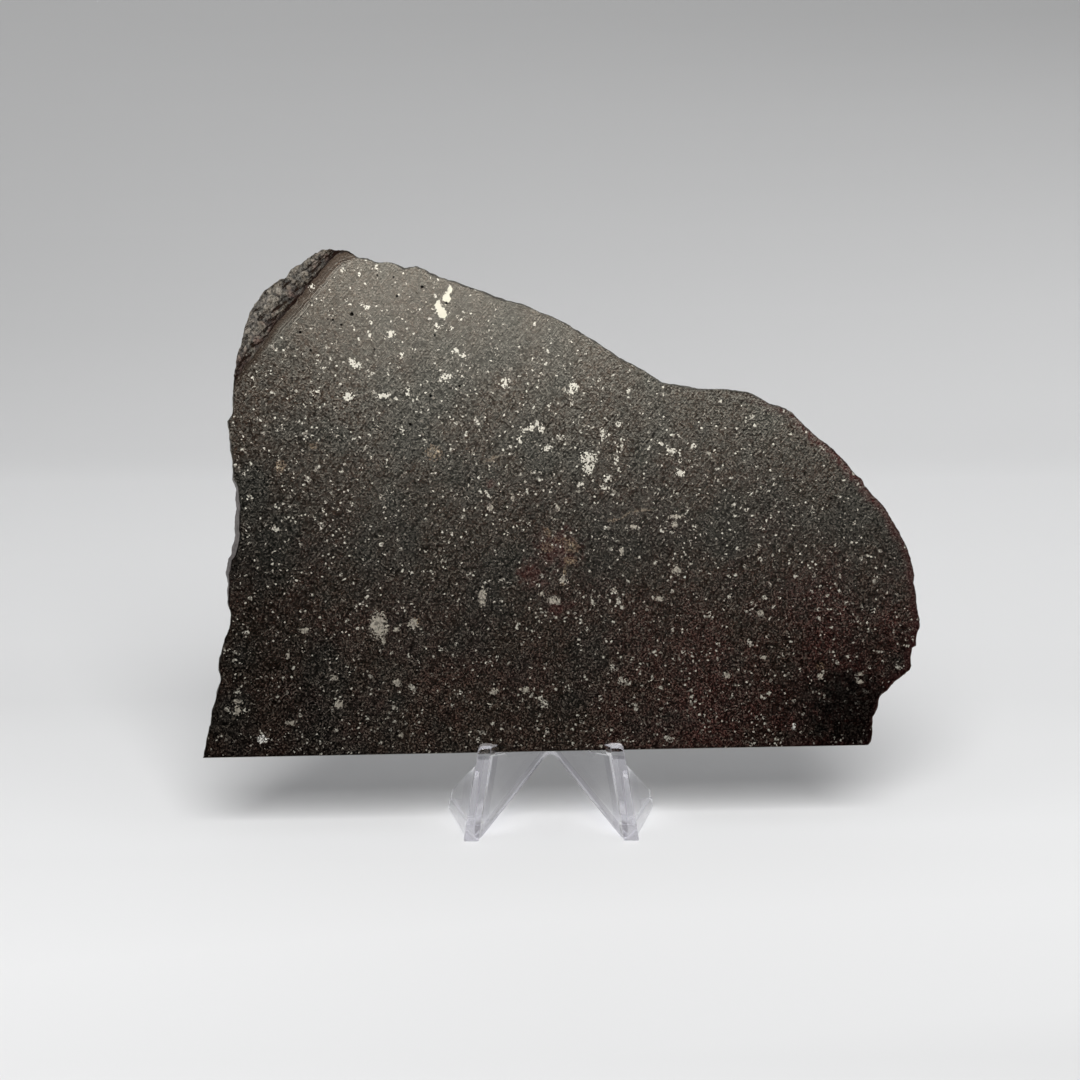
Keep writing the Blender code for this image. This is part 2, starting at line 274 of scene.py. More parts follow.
leftEdge = (
    (-62.2, 76.2), (-62.3, 73.2), (-62.5, 70.4), (-62.6, 68.4), (-63.5, 67.0), (-63.2, 63.2), (-63.0, 60.9),
    (-62.7, 58.1), (-62.8, 55.5), (-62.2, 53.7), (-62.2, 49.7), (-62.6, 47.3), (-62.5, 44.1), (-63.1, 41.3),
    (-63.9, 39.4), (-64.4, 37.2), (-64.2, 33.8), (-64.0, 30.3), (-63.5, 28.2), (-63.7, 26.3), (-64.9, 23.4),
    (-65.8, 19.7), (-66.0, 17.5), (-65.7, 15.7), (-66.5, 12.5), (-67.5, 9.3), (-67.8, 6.9), (-68.7, 3.5),
    (-69.4, 0.0),
)

# the broken strip, by the distance out from its inner edge: how deep it lies, and how rough it is
stripProfile = (
    (0.0, 0.08, 0.0), (0.18, 0.75, 0.08), (0.42, 0.95, 0.16), (0.75, 0.8, 0.34), (1.3, 0.6, 0.5),
    (9.0, 0.5, 0.5),
)
crumbSizes = ((2.1, 0.5), (1.0, 0.4), (0.5, 0.28))  # the broken crumbs, and their shares of the roughness
bandWidth = 2.0  # the smooth facet beside it, which runs out towards the lower left
bandDepth = 0.03
bandStart, bandFull = 77.0, 90.0

# how far through the slab each ring lies, and how far in from the outline
rimRings = (
    (0.012, 0.25), (0.03, 0.15), (0.055, 0.08), (0.1, 0.02), (0.17, 0.0), (0.26, 0.0), (0.36, 0.0),
    (0.46, 0.0), (0.56, 0.0), (0.66, 0.0), (0.76, 0.02), (0.86, 0.06), (0.94, 0.12), (0.98, 0.2),
    (1.0, 0.32),
)
faceInset = 0.32

# pits in the face: right, up, width and depth
openPits = (
    (-19.6, 90.1, 0.6, 0.4), (-33.3, 95.8, 0.45, 0.25), (-30.1, 95.4, 0.45, 0.25), (-24.4, 93.4, 0.65, 0.3),
    (-38.5, 88.1, 0.75, 0.35), (-42.3, 87.0, 0.5, 0.3), (-40.6, 86.0, 0.5, 0.3), (-46.8, 81.0, 0.55, 0.3),
    (-34.1, 81.0, 0.45, 0.25), (-22.0, 83.7, 0.5, 0.3), (-17.2, 73.5, 0.55, 0.3), (-23.0, 71.6, 0.6, 0.35),
    (-14.7, 93.0, 0.45, 0.25), (-29.4, 91.6, 0.55, 0.3), (-27.2, 66.0, 0.6, 0.3), (-48.8, 84.6, 0.6, 0.3),
)
pitMarks = tuple((u, v, width, width, 0) for u, v, width, _ in openPits)

# larger marks on the face: right, up, width, height and turn in degrees
metalMarks = (
    (-18.9, 92.7, 1.0, 1.9, 12), (-19.5, 91.3, 1.25, 2.4, 8), (-21.1, 89.4, 1.5, 2.2, -12),
    (-20.6, 88.3, 1.7, 2.0, -10), (-20.2, 87.6, 1.5, 1.1, 0),
)
creamMarks = (
    (-40.2, 96.9, 0.8, 1.0, 0), (-36.9, 96.1, 0.6, 1.0, 0), (-35.5, 89.5, 1.4, 0.6, 0),
    (-46.5, 93.7, 1.2, 1.4, 0), (-35.1, 84.1, 0.6, 1.2, 0), (-30.8, 83.9, 1.6, 1.4, 0),
    (-38.5, 78.5, 1.2, 1.2, 0), (-37.5, 77.7, 1.4, 1.2, 0), (-28.6, 79.9, 0.8, 0.8, 0),
    (-21.5, 85.6, 0.8, 1.0, 0), (-18.8, 85.1, 0.8, 1.0, 0), (-17.8, 80.5, 1.2, 1.0, 0),
    (-16.4, 79.5, 1.2, 1.0, 0), (-20.0, 75.2, 2.0, 1.6, 0), (-27.8, 72.3, 1.0, 1.2, 0),
    (-32.5, 71.7, 1.6, 1.2, 0), (-39.6, 71.6, 1.8, 1.6, 0), (-8.1, 74.0, 1.8, 1.6, 0),
    (5.7, 73.2, 1.8, 1.4, 0), (5.1, 72.0, 1.0, 1.4, 0), (-4.3, 64.5, 1.2, 0.8, 0),
    (-3.0, 64.9, 1.2, 1.0, 30), (-0.9, 64.7, 1.2, 1.0, 0), (-1.9, 65.7, 0.8, 1.6, 20),
    (8.3, 58.7, 2.8, 2.5, 0), (8.5, 56.7, 2.1, 2.2, 0), (11.4, 63.1, 1.2, 1.8, 20),
    (14.6, 65.4, 1.0, 0.8, 0), (-5.3, 62.4, 0.8, 1.2, -20), (0.2, 60.9, 1.6, 1.0, -20),
    (14.1, 58.3, 0.8, 1.6, 10), (12.1, 54.7, 1.0, 1.4, 0), (11.5, 52.6, 1.0, 1.0, 0),
    (7.0, 53.5, 1.0, 1.0, 0), (26.9, 55.5, 1.6, 1.4, 0), (29.6, 60.8, 1.0, 1.0, 0),
    (25.4, 59.9, 2.4, 0.8, 20),
)
whiteMarks = ((-57.5, 3.6, 2.2, 1.5, 0), (49.1, 4.1, 1.0, 1.2, 0))
greyMarks = (
    (-34.1, 25.9, 3.7, 5.7, 0), (-33.1, 22.7, 1.2, 1.4, 0), (-30.5, 25.0, 1.4, 1.0, 0),
    (-27.2, 26.2, 2.4, 2.0, 0), (-43.1, 15.6, 1.7, 1.3, -15), (-30.6, 14.3, 2.0, 1.8, 0),
    (-42.2, 10.2, 1.6, 2.0, 20), (-62.4, 9.3, 1.6, 2.0, 0), (-62.3, 11.1, 1.8, 1.0, 15),
    (-51.7, 6.7, 2.4, 1.0, 0), (-48.8, 25.1, 2.4, 1.2, 0), (-52.2, 20.2, 1.0, 2.0, 0),
    (2.9, 34.4, 1.4, 2.0, 0), (-13.3, 31.2, 1.8, 3.9, 8), (-1.4, 31.7, 1.4, 1.2, 0),
    (0.9, 30.2, 2.4, 1.8, -20), (14.8, 39.9, 1.2, 1.6, 0), (17.2, 44.8, 1.6, 1.0, 0),
    (13.3, 32.0, 1.8, 1.0, 20), (25.8, 36.0, 1.6, 2.0, 0), (22.3, 30.3, 1.6, 1.0, 0),
    (43.2, 18.2, 1.6, 1.0, 0), (35.7, 14.7, 1.6, 1.2, 0), (62.8, 14.5, 1.4, 1.2, 0),
    (62.6, 12.9, 1.4, 0.8, 0), (54.6, 14.1, 1.2, 1.4, 0), (2.1, 48.8, 1.0, 1.8, 0),
    (-11.5, 49.0, 1.2, 1.6, -30), (-11.2, 12.1, 1.8, 1.4, 0), (-5.0, 12.4, 2.0, 1.6, 0),
    (42.7, 27.0, 1.2, 1.4, 0), (-29.9, 3.9, 1.2, 1.2, 0), (-6.9, 51.2, 0.7, 1.8, 0),
    (25.6, 45.2, 1.4, 1.4, 0), (25.8, 46.7, 3.2, 0.9, 0),
)
tanMarks = (
    (-53.2, 57.9, 2.0, 2.5, 0), (0.0, 44.0, 1.5, 2.0, -30), (-0.1, 40.9, 2.4, 1.7, 10),
    (4.7, 41.0, 3.0, 2.6, 0), (3.1, 42.4, 4.2, 0.7, -10), (4.4, 38.2, 2.2, 1.9, 0),
    (3.3, 36.0, 0.8, 2.6, 8), (2.8, 33.6, 1.0, 0.9, 0), (54.6, 16.3, 1.8, 1.6, 0),
    (-22.6, 60.3, 3.4, 2.9, 0), (-46.6, 61.8, 1.6, 1.2, 0), (-26.8, 26.4, 2.0, 1.8, 0),
)
redMarks = (
    (1.8, 40.6, 9.0, 8.0, 0), (-0.9, 33.8, 1.8, 1.6, 0), (-3.3, 35.6, 5.0, 6.4, 0),
    (2.2, 28.3, 5.6, 3.4, 0), (-11.2, 53.8, 2.2, 1.8, 0),
)
veinMarks = (
    (-10.8, 58.9, 4.6, 0.45, -20), (13.4, 46.2, 3.2, 0.4, -9), (15.8, 47.2, 2.6, 0.4, -35),
    (19.2, 48.0, 5.2, 0.35, -4),
)
blackMarks = ((60.3, 7.0, 14.0, 16.0, 0), (64.6, 11.2, 6.0, 5.0, 0))
faceMarks = {
    "metalMark": metalMarks, "creamMark": creamMarks, "whiteMark": whiteMarks,
    "greyMark": greyMarks, "tanMark": tanMarks, "redMark": redMarks,
    "blackMark": blackMarks, "veinMark": veinMarks, "pitMark": pitMarks,
}


def evenPoints(corners, step):
    # points at even steps along a bent line, its ends included
    corners = [Vector(corner) for corner in corners]
    lengths = [(b - a).length for a, b in zip(corners, corners[1:])]
    count = max(1, round(sum(lengths) / step))
    points, piece, walked = [], 0, 0.0
    for i in range(count + 1):
        target = sum(lengths) * i / count
        while piece < len(lengths) - 1 and walked + lengths[piece] < target:
            walked += lengths[piece]
            piece += 1
        points.append(corners[piece].lerp(corners[piece + 1], min(1.0, (target - walked) / lengths[piece])))
    return points


def slabOutline():
    # the closed outline, counterclockwise from the front, with the way out at each point
    outline = []
    for kind, corners in (
        ("sawn", sawnEdge), ("natural", rightEdge), ("natural", topEdge), ("strip", stripOuterEdge),
        ("natural", leftEdge),
    ):
        step = stone["edgeStep"] * (2.0 if kind == "sawn" else 1.0)
        outline += [{"point": point, "kind": kind} for point in evenPoints(corners, step)[:-1]]
    count = len(outline)
    for i, spot in enumerate(outline):
        along = (outline[(i + 2) % count]["point"] - outline[i - 2]["point"]).normalized()
        spot["out"] = Vector((along.y, -along.x))
    for i, spot in enumerate(outline):
        if spot["kind"] == "sawn" and i > 0:
            spot["out"] = Vector((0.0, -1.0))
    for spot in outline:
        if spot["kind"] == "sawn":
            continue
        point = spot["point"]
        jag = stone["jagDepth"] * noise.noise(Vector((point.x, point.y, 3.0)) / stone["jagSize"])
        jag += stone["fineJagDepth"] * noise.noise(Vector((point.x, point.y, 9.0)) / stone["fineJagSize"])
        spot["point"] = point + spot["out"] * jag * (stone["brokenJag"] if spot["kind"] == "strip" else 1.0)
    return outline


def bulge(spot):
    # 0 to 1: how much the left side swells out behind the face
    if spot["point"].x > stone["bulgeLeftOf"] or spot["kind"] != "natural":
        return 0.0
    reach = (spot["point"].y - stone["bulgeHeight"]) / stone["bulgeReach"]
    return max(0.0, 1.0 - reach * reach)


def profileAt(distance):
    # the strip's depth and roughness at a distance out from its inner edge
    for (nearAt, nearDepth, nearRough), (farAt, farDepth, farRough) in zip(stripProfile, stripProfile[1:]):
        if distance <= farAt:
            share = max(0.0, (distance - nearAt) / (farAt - nearAt))
            return nearDepth + (farDepth - nearDepth) * share, nearRough + (farRough - nearRough) * share
    return stripProfile[-1][1], stripProfile[-1][2]


def raggedStep():
    # the strip's inner edge, broken rather than straight
    points = evenPoints(stripInnerEdge, 0.4)
    ragged = []
    for i, point in enumerate(points):
        along = (points[min(i + 1, len(points) - 1)] - points[max(i - 1, 0)]).normalized()
        jag = stone["stepJag"] * noise.noise(Vector((point.x, point.y, 5.0)) / stone["stepJagSize"])
        jag += stone["fineStepJag"] * noise.noise(Vector((point.x, point.y, 8.0)) / stone["fineStepJagSize"])
        ragged.append(point + Vector((along.y, -along.x)) * jag)
    return ragged


def stepDistance(u, v, line):
    # how far outside the strip's inner edge a point lies, and how far from that edge's ends, 0 to 1
    if u > stone["stripRight"] or v < stone["stripLow"]:
        return -stone["farAway"], 1.0
    best, side, walked, at = 1e9, 1.0, 0.0, 0.0
    for a, b in zip(line, line[1:]):
        alongU, alongV = b.x - a.x, b.y - a.y
        length = math.hypot(alongU, alongV)
        share = max(0.0, min(1.0, ((u - a.x) * alongU + (v - a.y) * alongV) / (length * length)))
        gapU, gapV = u - a.x - alongU * share, v - a.y - alongV * share
        gap = math.hypot(gapU, gapV)
        if gap < best:
            best, at = gap, walked + length * share
            side = 1.0 if alongU * gapV - alongV * gapU < 0.0 else -1.0
        walked += length
    return best * side, min(1.0, at / 2.5, (walked - at) / 2.5)


def crumbHeight(u, v, depth=0.0):
    # 0 in the cracks between the broken crumbs and about 1 on top of them
    height = 0.0
    for size, share in crumbSizes:
        near = noise.voronoi(Vector((u, v, depth + size * 7.0)) / size)[0]
        height += share * min(1.0, (near[1] - near[0]) * 1.6)
    return height


def facetShare(v):
    # 0 to 1: how plain the facet beside the strip is at this height
    share = max(0.0, min(1.0, (v - bandStart) / (bandFull - bandStart)))
    return share * share * (3.0 - 2.0 * share)


def faceDepth(u, v, line):
    # the face's depth in millimetres: the facet, the groove, the broken strip and the pits
    distance, taper = stepDistance(u, v, line)
    depth, crumb = 0.0, 1.0
    if distance > 0.0:
        depth, rough = profileAt(distance)
        crumb = crumbHeight(u, v)
        depth = (depth + rough * (0.6 - crumb)) * taper
    elif distance > -bandWidth:
        depth = bandDepth * (1.0 + distance / bandWidth) ** 2.0 * taper * facetShare(v)
    for pitU, pitV, width, sunk in openPits:
        reach = ((u - pitU) ** 2 + (v - pitV) ** 2) / (width / 2.0) ** 2
        if reach < 1.0:
            depth += sunk * (1.0 - reach)
    return max(0.0, depth), distance, crumb


def markNearness(u, v, marks):
    # how near a point is to the nearest mark: 0 in its middle, 1 at its border and 2 far from it
    nearest = stone["noMark"]
    for markU, markV, width, height, turn in marks:
        du, dv = u - markU, v - markV
        if abs(du) + abs(dv) > width + height:
            continue
        cosine, sine = math.cos(math.radians(turn)), math.sin(math.radians(turn))
        across = (du * cosine - dv * sine) / (width / 2.0)
        upward = (du * sine + dv * cosine) / (height / 2.0)
        nearest = min(nearest, math.hypot(across, upward))
    return nearest


def markRings(marks):
    # more points in and round each mark, so that its border is followed closely
    points = []
    for markU, markV, width, height, turn in marks:
        cosine, sine = math.cos(math.radians(turn)), math.sin(math.radians(turn))
        points.append(Vector((markU, markV)))
        for share, around in ((0.5, 6), (0.9, 10), (1.35, 12)):
            for i in range(around):
                angle = math.tau * (i + share) / around
                across, upward = math.cos(angle) * share * width / 2.0, math.sin(angle) * share * height / 2.0
                points.append(Vector((
                    markU + across * cosine + upward * sine, markV - across * sine + upward * cosine,
                )))
    return points


def fillFlat(loop, extra, creases=()):
    # triangles that fill a closed loop of flat points, with more points and creases inside it
    points = list(loop) + [point for crease in creases for point in crease] + list(extra)
    edges = [(i, (i + 1) % len(loop)) for i in range(len(loop))]
    start = len(loop)
    for crease in creases:
        edges += [(start + i, start + i + 1) for i in range(len(crease) - 1)]
        start += len(crease)
    flat, _, faces, origins, _, _ = delaunay_2d_cdt(points, edges, [], 1, 1e-5)
    return flat, faces, origins


def innerGrid(loop, step, keep):
    # a slightly shuffled grid over the loop's box, kept where keep says so
    randomly = random.Random(7)
    lowU, highU = min(p.x for p in loop), max(p.x for p in loop)
    lowV, highV = min(p.y for p in loop), max(p.y for p in loop)
    points = []
    for row in range(int((highV - lowV) / step) + 1):
        for column in range(int((highU - lowU) / step) + 1):
            u = lowU + (column + 0.5 * (row % 2) + randomly.uniform(-0.2, 0.2)) * step
            v = lowV + (row + randomly.uniform(-0.2, 0.2)) * step
            if keep(u, v):
                points.append(Vector((u, v)))
    return points


def insideTester(loop, margin):
    # says whether a point lies inside the loop, at least a margin from it
    rows = {}
    for a, b in zip(loop, loop[1:] + loop[:1]):
        for row in range(int(math.floor(min(a.y, b.y))) - 1, int(math.floor(max(a.y, b.y))) + 2):
            rows.setdefault(row, []).append((a, b))

    def inside(u, v):
        crossings = 0
        for a, b in rows.get(int(math.floor(v)), ()):
            if (a.y > v) != (b.y > v) and u < a.x + (v - a.y) * (b.x - a.x) / (b.y - a.y):
                crossings += 1
            if (a.x - u) ** 2 + (a.y - v) ** 2 < margin * margin:
                return False
        return crossings % 2 == 1

    return inside


def makeStone(materials):
    outline = slabOutline()
    thick = stone["thickness"]
    line = raggedStep()
    startOut = (line[0] - line[2]).normalized()
    endOut = (line[-1] - line[-3]).normalized()
    longLine = [line[0] + startOut * 1.5] + line + [line[-1] + endOut * 1.5]
    wholeRim, upperRim = KDTree(len(outline)), KDTree(len(outline))
    for i, spot in enumerate(outline):
        if spot["kind"] != "strip":
            wholeRim.insert(spot["point"].to_3d(), i)
        if spot["kind"] == "natural" and spot["point"].x > -20.0 and spot["point"].y > 30.0:
            upperRim.insert(spot["point"].to_3d(), i)
    wholeRim.balance()
    upperRim.balance()

    def ringPoint(spot, inset, depth):
        swell = stone["bulgeOut"] * bulge(spot) * max(0.0, 1.0 - depth / stone["bulgeBack"])
        chip = 1.0 + 0.9 * noise.noise(Vector((spot["point"].x, spot["point"].y, 20.0)) / 1.1)
        inset = inset * (0.3 if spot["kind"] == "sawn" else max(0.3, chip))
        return spot["point"] - spot["out"] * (inset + swell)

    frontLoop = [ringPoint(spot, faceInset, 0.0) for spot in outline]
    inside = insideTester(frontLoop, 0.25)

    def keepCoarse(u, v):
        return inside(u, v) and stepDistance(u, v, line)[0] < -2.9

    def keepBand(u, v):
        return -2.9 < stepDistance(u, v, line)[0] < -0.3 and inside(u, v)

    def keepStrip(u, v):
        return stepDistance(u, v, line)[0] > 0.12 and inside(u, v)

    extra = innerGrid(frontLoop, stone["faceStep"], keepCoarse)
    nearStrip = [point for point in frontLoop if point.x < -34.0 and point.y > 70.0]
    extra += innerGrid(nearStrip, stone["bandStep"], keepBand)
    extra += innerGrid(nearStrip, stone["stripStep"], keepStrip)
    for pitU, pitV, width, _ in openPits:
        pit = Vector((pitU, pitV))
        extra.append(pit)
        for share, around in ((0.3, 7), (0.52, 11)):
            for i in range(around):
                turn = math.tau * i / around
                extra.append(pit + Vector((math.cos(turn), math.sin(turn))) * width * share)
    for marks in (metalMarks, creamMarks, whiteMarks, greyMarks, tanMarks, veinMarks):
        extra += [point for point in markRings(marks) if inside(point.x, point.y)]
    crease = [point for point in line if inside(point.x, point.y)]
    flat, faces, origins = fillFlat(frontLoop, extra, [crease])

    shape = bmesh.new()
    fromStep = shape.verts.layers.float.new("fromStep")
    crumbTop = shape.verts.layers.float.new("crumbTop")
    fromRim = shape.verts.layers.float.new("fromRim")
    fromUpperRim = shape.verts.layers.float.new("fromUpperRim")
    markLayers = [(shape.verts.layers.float.new(name), marks) for name, marks in faceMarks.items()]

    def leaveBare(vert, step):
        # off the face there are no marks, and the upper rim is far away
        vert[fromStep] = step
        vert[fromUpperRim] = stone["farAway"]
        for layer, _ in markLayers:
            vert[layer] = stone["noMark"]

    front = []
    for point in flat:
        depth, distance, crumb = faceDepth(point.x, point.y, longLine)
        vert = shape.verts.new((point.x * mm, depth * mm, point.y * mm))
        vert[fromStep] = distance
        vert[crumbTop] = crumb
        vert[fromRim] = wholeRim.find(point.to_3d())[2]
        vert[fromUpperRim] = upperRim.find(point.to_3d())[2]
        for layer, marks in markLayers:
            vert[layer] = markNearness(point.x, point.y, marks)
        front.append(vert)
    for corners in faces:
        face = shape.faces.new([front[i] for i in corners])
        middle = face.calc_center_median() / mm
        if stepDistance(middle.x, middle.z, line)[0] > 0.0:
            face.material_index = 1
    ofLoop = {}
    for vert, given in zip(front, origins):
        for i in given:
            if i < len(frontLoop):
                ofLoop[i] = vert
    ring = [ofLoop[i] for i in range(len(frontLoop))]
    startDepths = [vert.co.y / mm for vert in ring]

    count = len(outline)
    for share, inset in rimRings:
        behind = []
        for spot, start, before in zip(outline, startDepths, ring):
            depth = start + (thick - start) * share
            point = spot["point"]
            rough = noise.noise(Vector((point.x, point.y, depth)) / stone["sideGrain"])
            rough += 0.4 * noise.noise(Vector((point.x, point.y, depth + 30.0)) / 0.8)
            crumb = crumbHeight(point.x, point.y, depth) if spot["kind"] == "strip" else 1.0
            window = 0.0 if spot["kind"] == "sawn" else math.sin(math.pi * min(1.0, share)) ** 0.7
            inward = stone["sideRough"] * window * (rough + 1.0 - crumb)
            place = ringPoint(spot, inset, depth) - spot["out"] * inward
            vert = shape.verts.new((place.x * mm, depth * mm, place.y * mm))
            leaveBare(vert, before[fromStep])
            vert[crumbTop] = crumb
            behind.append(vert)
        for i in range(count):
            after = (i + 1) % count
            face = shape.faces.new((ring[i], ring[after], behind[after], behind[i]))
            kinds = {outline[i]["kind"], outline[after]["kind"]}
            chamfer = share < 0.06 and kinds == {"natural"}
            face.material_index = 0 if kinds == {"sawn"} or chamfer else 1 if kinds == {"strip"} else 2
        ring = behind

    backLoop = [Vector((vert.co.x, vert.co.z)) / mm for vert in ring]
    insideBack = insideTester(backLoop, 0.7)
    flat, faces, origins = fillFlat(backLoop, innerGrid(backLoop, stone["backStep"], insideBack))
    back = {}
    for i, given in enumerate(origins):
        for j in given:
            if j < count:
                back[i] = ring[j]
    for i, point in enumerate(flat):
        if i not in back:
            back[i] = shape.verts.new((point.x * mm, thick * mm, point.y * mm))
            leaveBare(back[i], -stone["farAway"])
            back[i][fromRim] = wholeRim.find(point.to_3d())[2]
    for corners in faces:
        shape.faces.new([back[i] for i in corners])

    bmesh.ops.recalc_face_normals(shape, faces=shape.faces)
    piece = addPiece("meteoriteSlice", shape, materials, 24.0)
    piece.rotation_euler = Euler((-math.radians(stone["lean"]), 0.0, math.radians(stone["yaw"])))
    piece.location = Vector(stone["foot"]) * mm + easelPlace
    print("stone:", len(piece.data.polygons), "faces")
    return piece


groundMass = {
    "brown": (0.0088, 0.0059, 0.0042, 1.0),
    "green": (0.0062, 0.0060, 0.0050, 1.0),
    "red": (0.0150, 0.0050, 0.0040, 1.0),
    "black": (0.0016, 0.0012, 0.0011, 1.0),
    "pepper": (0.040, 0.033, 0.026, 1.0),
    "iron": (0.64, 0.31, 0.10, 0.95),  # how much of it reflects little, by the grain
}

grains = {
    "cream": (0.205, 0.194, 0.166, 1.0),
    "grey": (0.165, 0.150, 0.124, 1.0),
    "dull": (0.055, 0.048, 0.040, 1.0),
    "bright": (0.200, 0.190, 0.155, 1.0),
    "white": (0.62, 0.60, 0.55, 1.0),
    "tan": (0.070, 0.040, 0.022, 1.0),
    "paleTan": (0.165, 0.118, 0.070, 1.0),
    "saw": (0.080, 0.074, 0.064, 1.0),
    # a painted highlight: the light line along the slab's upper rim
    "rimHighlight": (0.110, 0.105, 0.092, 1.0),
    "vein": (0.085, 0.066, 0.048, 1.0),
    "red": (0.045, 0.010, 0.009, 1.0),
    "redRim": (0.026, 0.0055, 0.0055, 1.0),
    "metallic": 0.72,
}

# the metal crystals: their width in millimetres, the share of the stone that they take, and how many of the
# small crystals are missing from them
fleckSizes = {"small": (0.32, 0.020, 0.0), "medium": (0.64, 0.021, 0.35), "large": (1.5, 0.006, 0.42)}
grainSize = 0.36


def crystalGroup():
    # angular crystals: two numbers from 0 to 1 that are the same all over each one
    group, given, made = newGroup("crystals", {"Place": None, "Width": 0.4}, ("Pick", "Tone"))
    place, width = given.outputs[:2]
    scaled = vectorOf(group, "SCALE", place, mathOf(group, "DIVIDE", 1.0, width))
    swell = noiseOf(group, scaled, 0.9, 2.0, 0.6, output="Color")
    wobble = vectorOf(group, "SUBTRACT", swell, (0.5, 0.5, 0.5))
    cells = addNode(group, "ShaderNodeTexVoronoi")
    cells.inputs["Scale"].default_value = 1.0
    plug(group, vectorOf(group, "ADD", scaled, vectorOf(group, "SCALE", wobble, 0.8)), cells.inputs["Vector"])
    parts = addNode(group, "ShaderNodeSeparateColor")
    plug(group, cells.outputs["Color"], parts.inputs[0])
    plug(group, parts.outputs[0], made.inputs["Pick"])
    plug(group, parts.outputs[1], made.inputs["Tone"])
    return group


def groundGroup():
    # the dark stone between the grains: a colour, and a fine grain from 0 to 1
    inputs = {"Place": None, "Pick": 0.5, "Redness": 0.0}
    group, given, made = newGroup("groundMass", inputs, ("Colour", "Grain"))
    place, pick, redness = given.outputs[:3]
    patches = rampOf(group, noiseOf(group, place, 17.0, 2.0, 0.6), 0.42, 0.62)
    stains = noiseOf(group, vectorOf(group, "ADD", place, (31.0, 5.0, 17.0)), 13.0, 2.0, 0.6)
    stained = times(group, rampOf(group, stains, 0.35, 0.7, 0.3, 1.6), redness, clamp=True)
    colour = layered(group, groundMass["brown"], (patches, groundMass["green"]), (stained, groundMass["red"]))
    mottle = noiseOf(group, place, 1.5, 3.0, 0.7)
    grain = noiseOf(group, place, grainSize, 2.0, 0.75)
    shade = times(group, rampOf(group, mottle, 0.3, 0.7, 0.4, 1.7), rampOf(group, grain, 0.3, 0.7, 0.15, 2.0))
    pepper = times(group, rampOf(group, pick, 0.72, 1.0, 0.0, 0.8), rampOf(group, grain, 0.4, 0.55))
    shaded = mixOf(group, pepper, vectorOf(group, "SCALE", colour, shade), groundMass["pepper"])
    plug(group, shaded, made.inputs["Colour"])
    plug(group, timesPlus(group, pick, 0.42, times(group, grain, 0.58)), made.inputs["Grain"])
    return group


def fleckGroup():
    # metal flecks, one crystal or several together: a mask, with more of them in some places than in others
    inputs = {"Place": None, "Pick": 0.5, "Amount": 1.0}
    group, given, made = newGroup("metalFlecks", inputs, ("Mask",))
    place, pick, amount = given.outputs[:3]
    clusters = rampOf(group, noiseOf(group, place, 5.0, 2.0, 0.65), 0.33, 0.67, 0.25, 1.75)
    amount = times(group, clusters, amount)
    layers = []
    for name, (width, share, missing) in fleckSizes.items():
        chosen = pick
        if name != "small":
            chosen = placeGroup(group, groups["crystals"], Place=place, Width=width).outputs["Pick"]
        many = mathOf(group, "GREATER_THAN", chosen, timesPlus(group, amount, -share, 1.0))
        layers.append(times(group, many, mathOf(group, "GREATER_THAN", pick, missing)))
    plug(group, highest(group, *layers), made.inputs["Mask"])
    return group


groups = {}


def stoneGroups():
    groups["crystals"] = crystalGroup()
    groups["ground"] = groundGroup()
    groups["flecks"] = fleckGroup()


def attributeOf(tree, name):
    return addNode(tree, "ShaderNodeAttribute", attribute_name=name).outputs["Fac"]


def markOf(tree, name, ragged, border, soft, strength=1.0):
    # a mark's mask, with a border that a noise makes ragged
    nearness = plus(tree, attributeOf(tree, name), ragged)
    return rampOf(tree, nearness, border + soft, border - soft, 0.0, strength)


polish = {
    "sawSlant": -50.0,  # saw marks run at the strip's own slant
    "sawStretch": (14.0, 1.0, 0.35),
    "left": (-30.0, -62.0, 0.0, 0.28),  # duller from the first place to the second, up to this share
    "lowRight": (28.0, 60.0),
    "lowRightHeight": (34.0, 6.0, 0.0, 0.5),
    "tint": (1.0, 0.945, 0.80, 1.0),
}


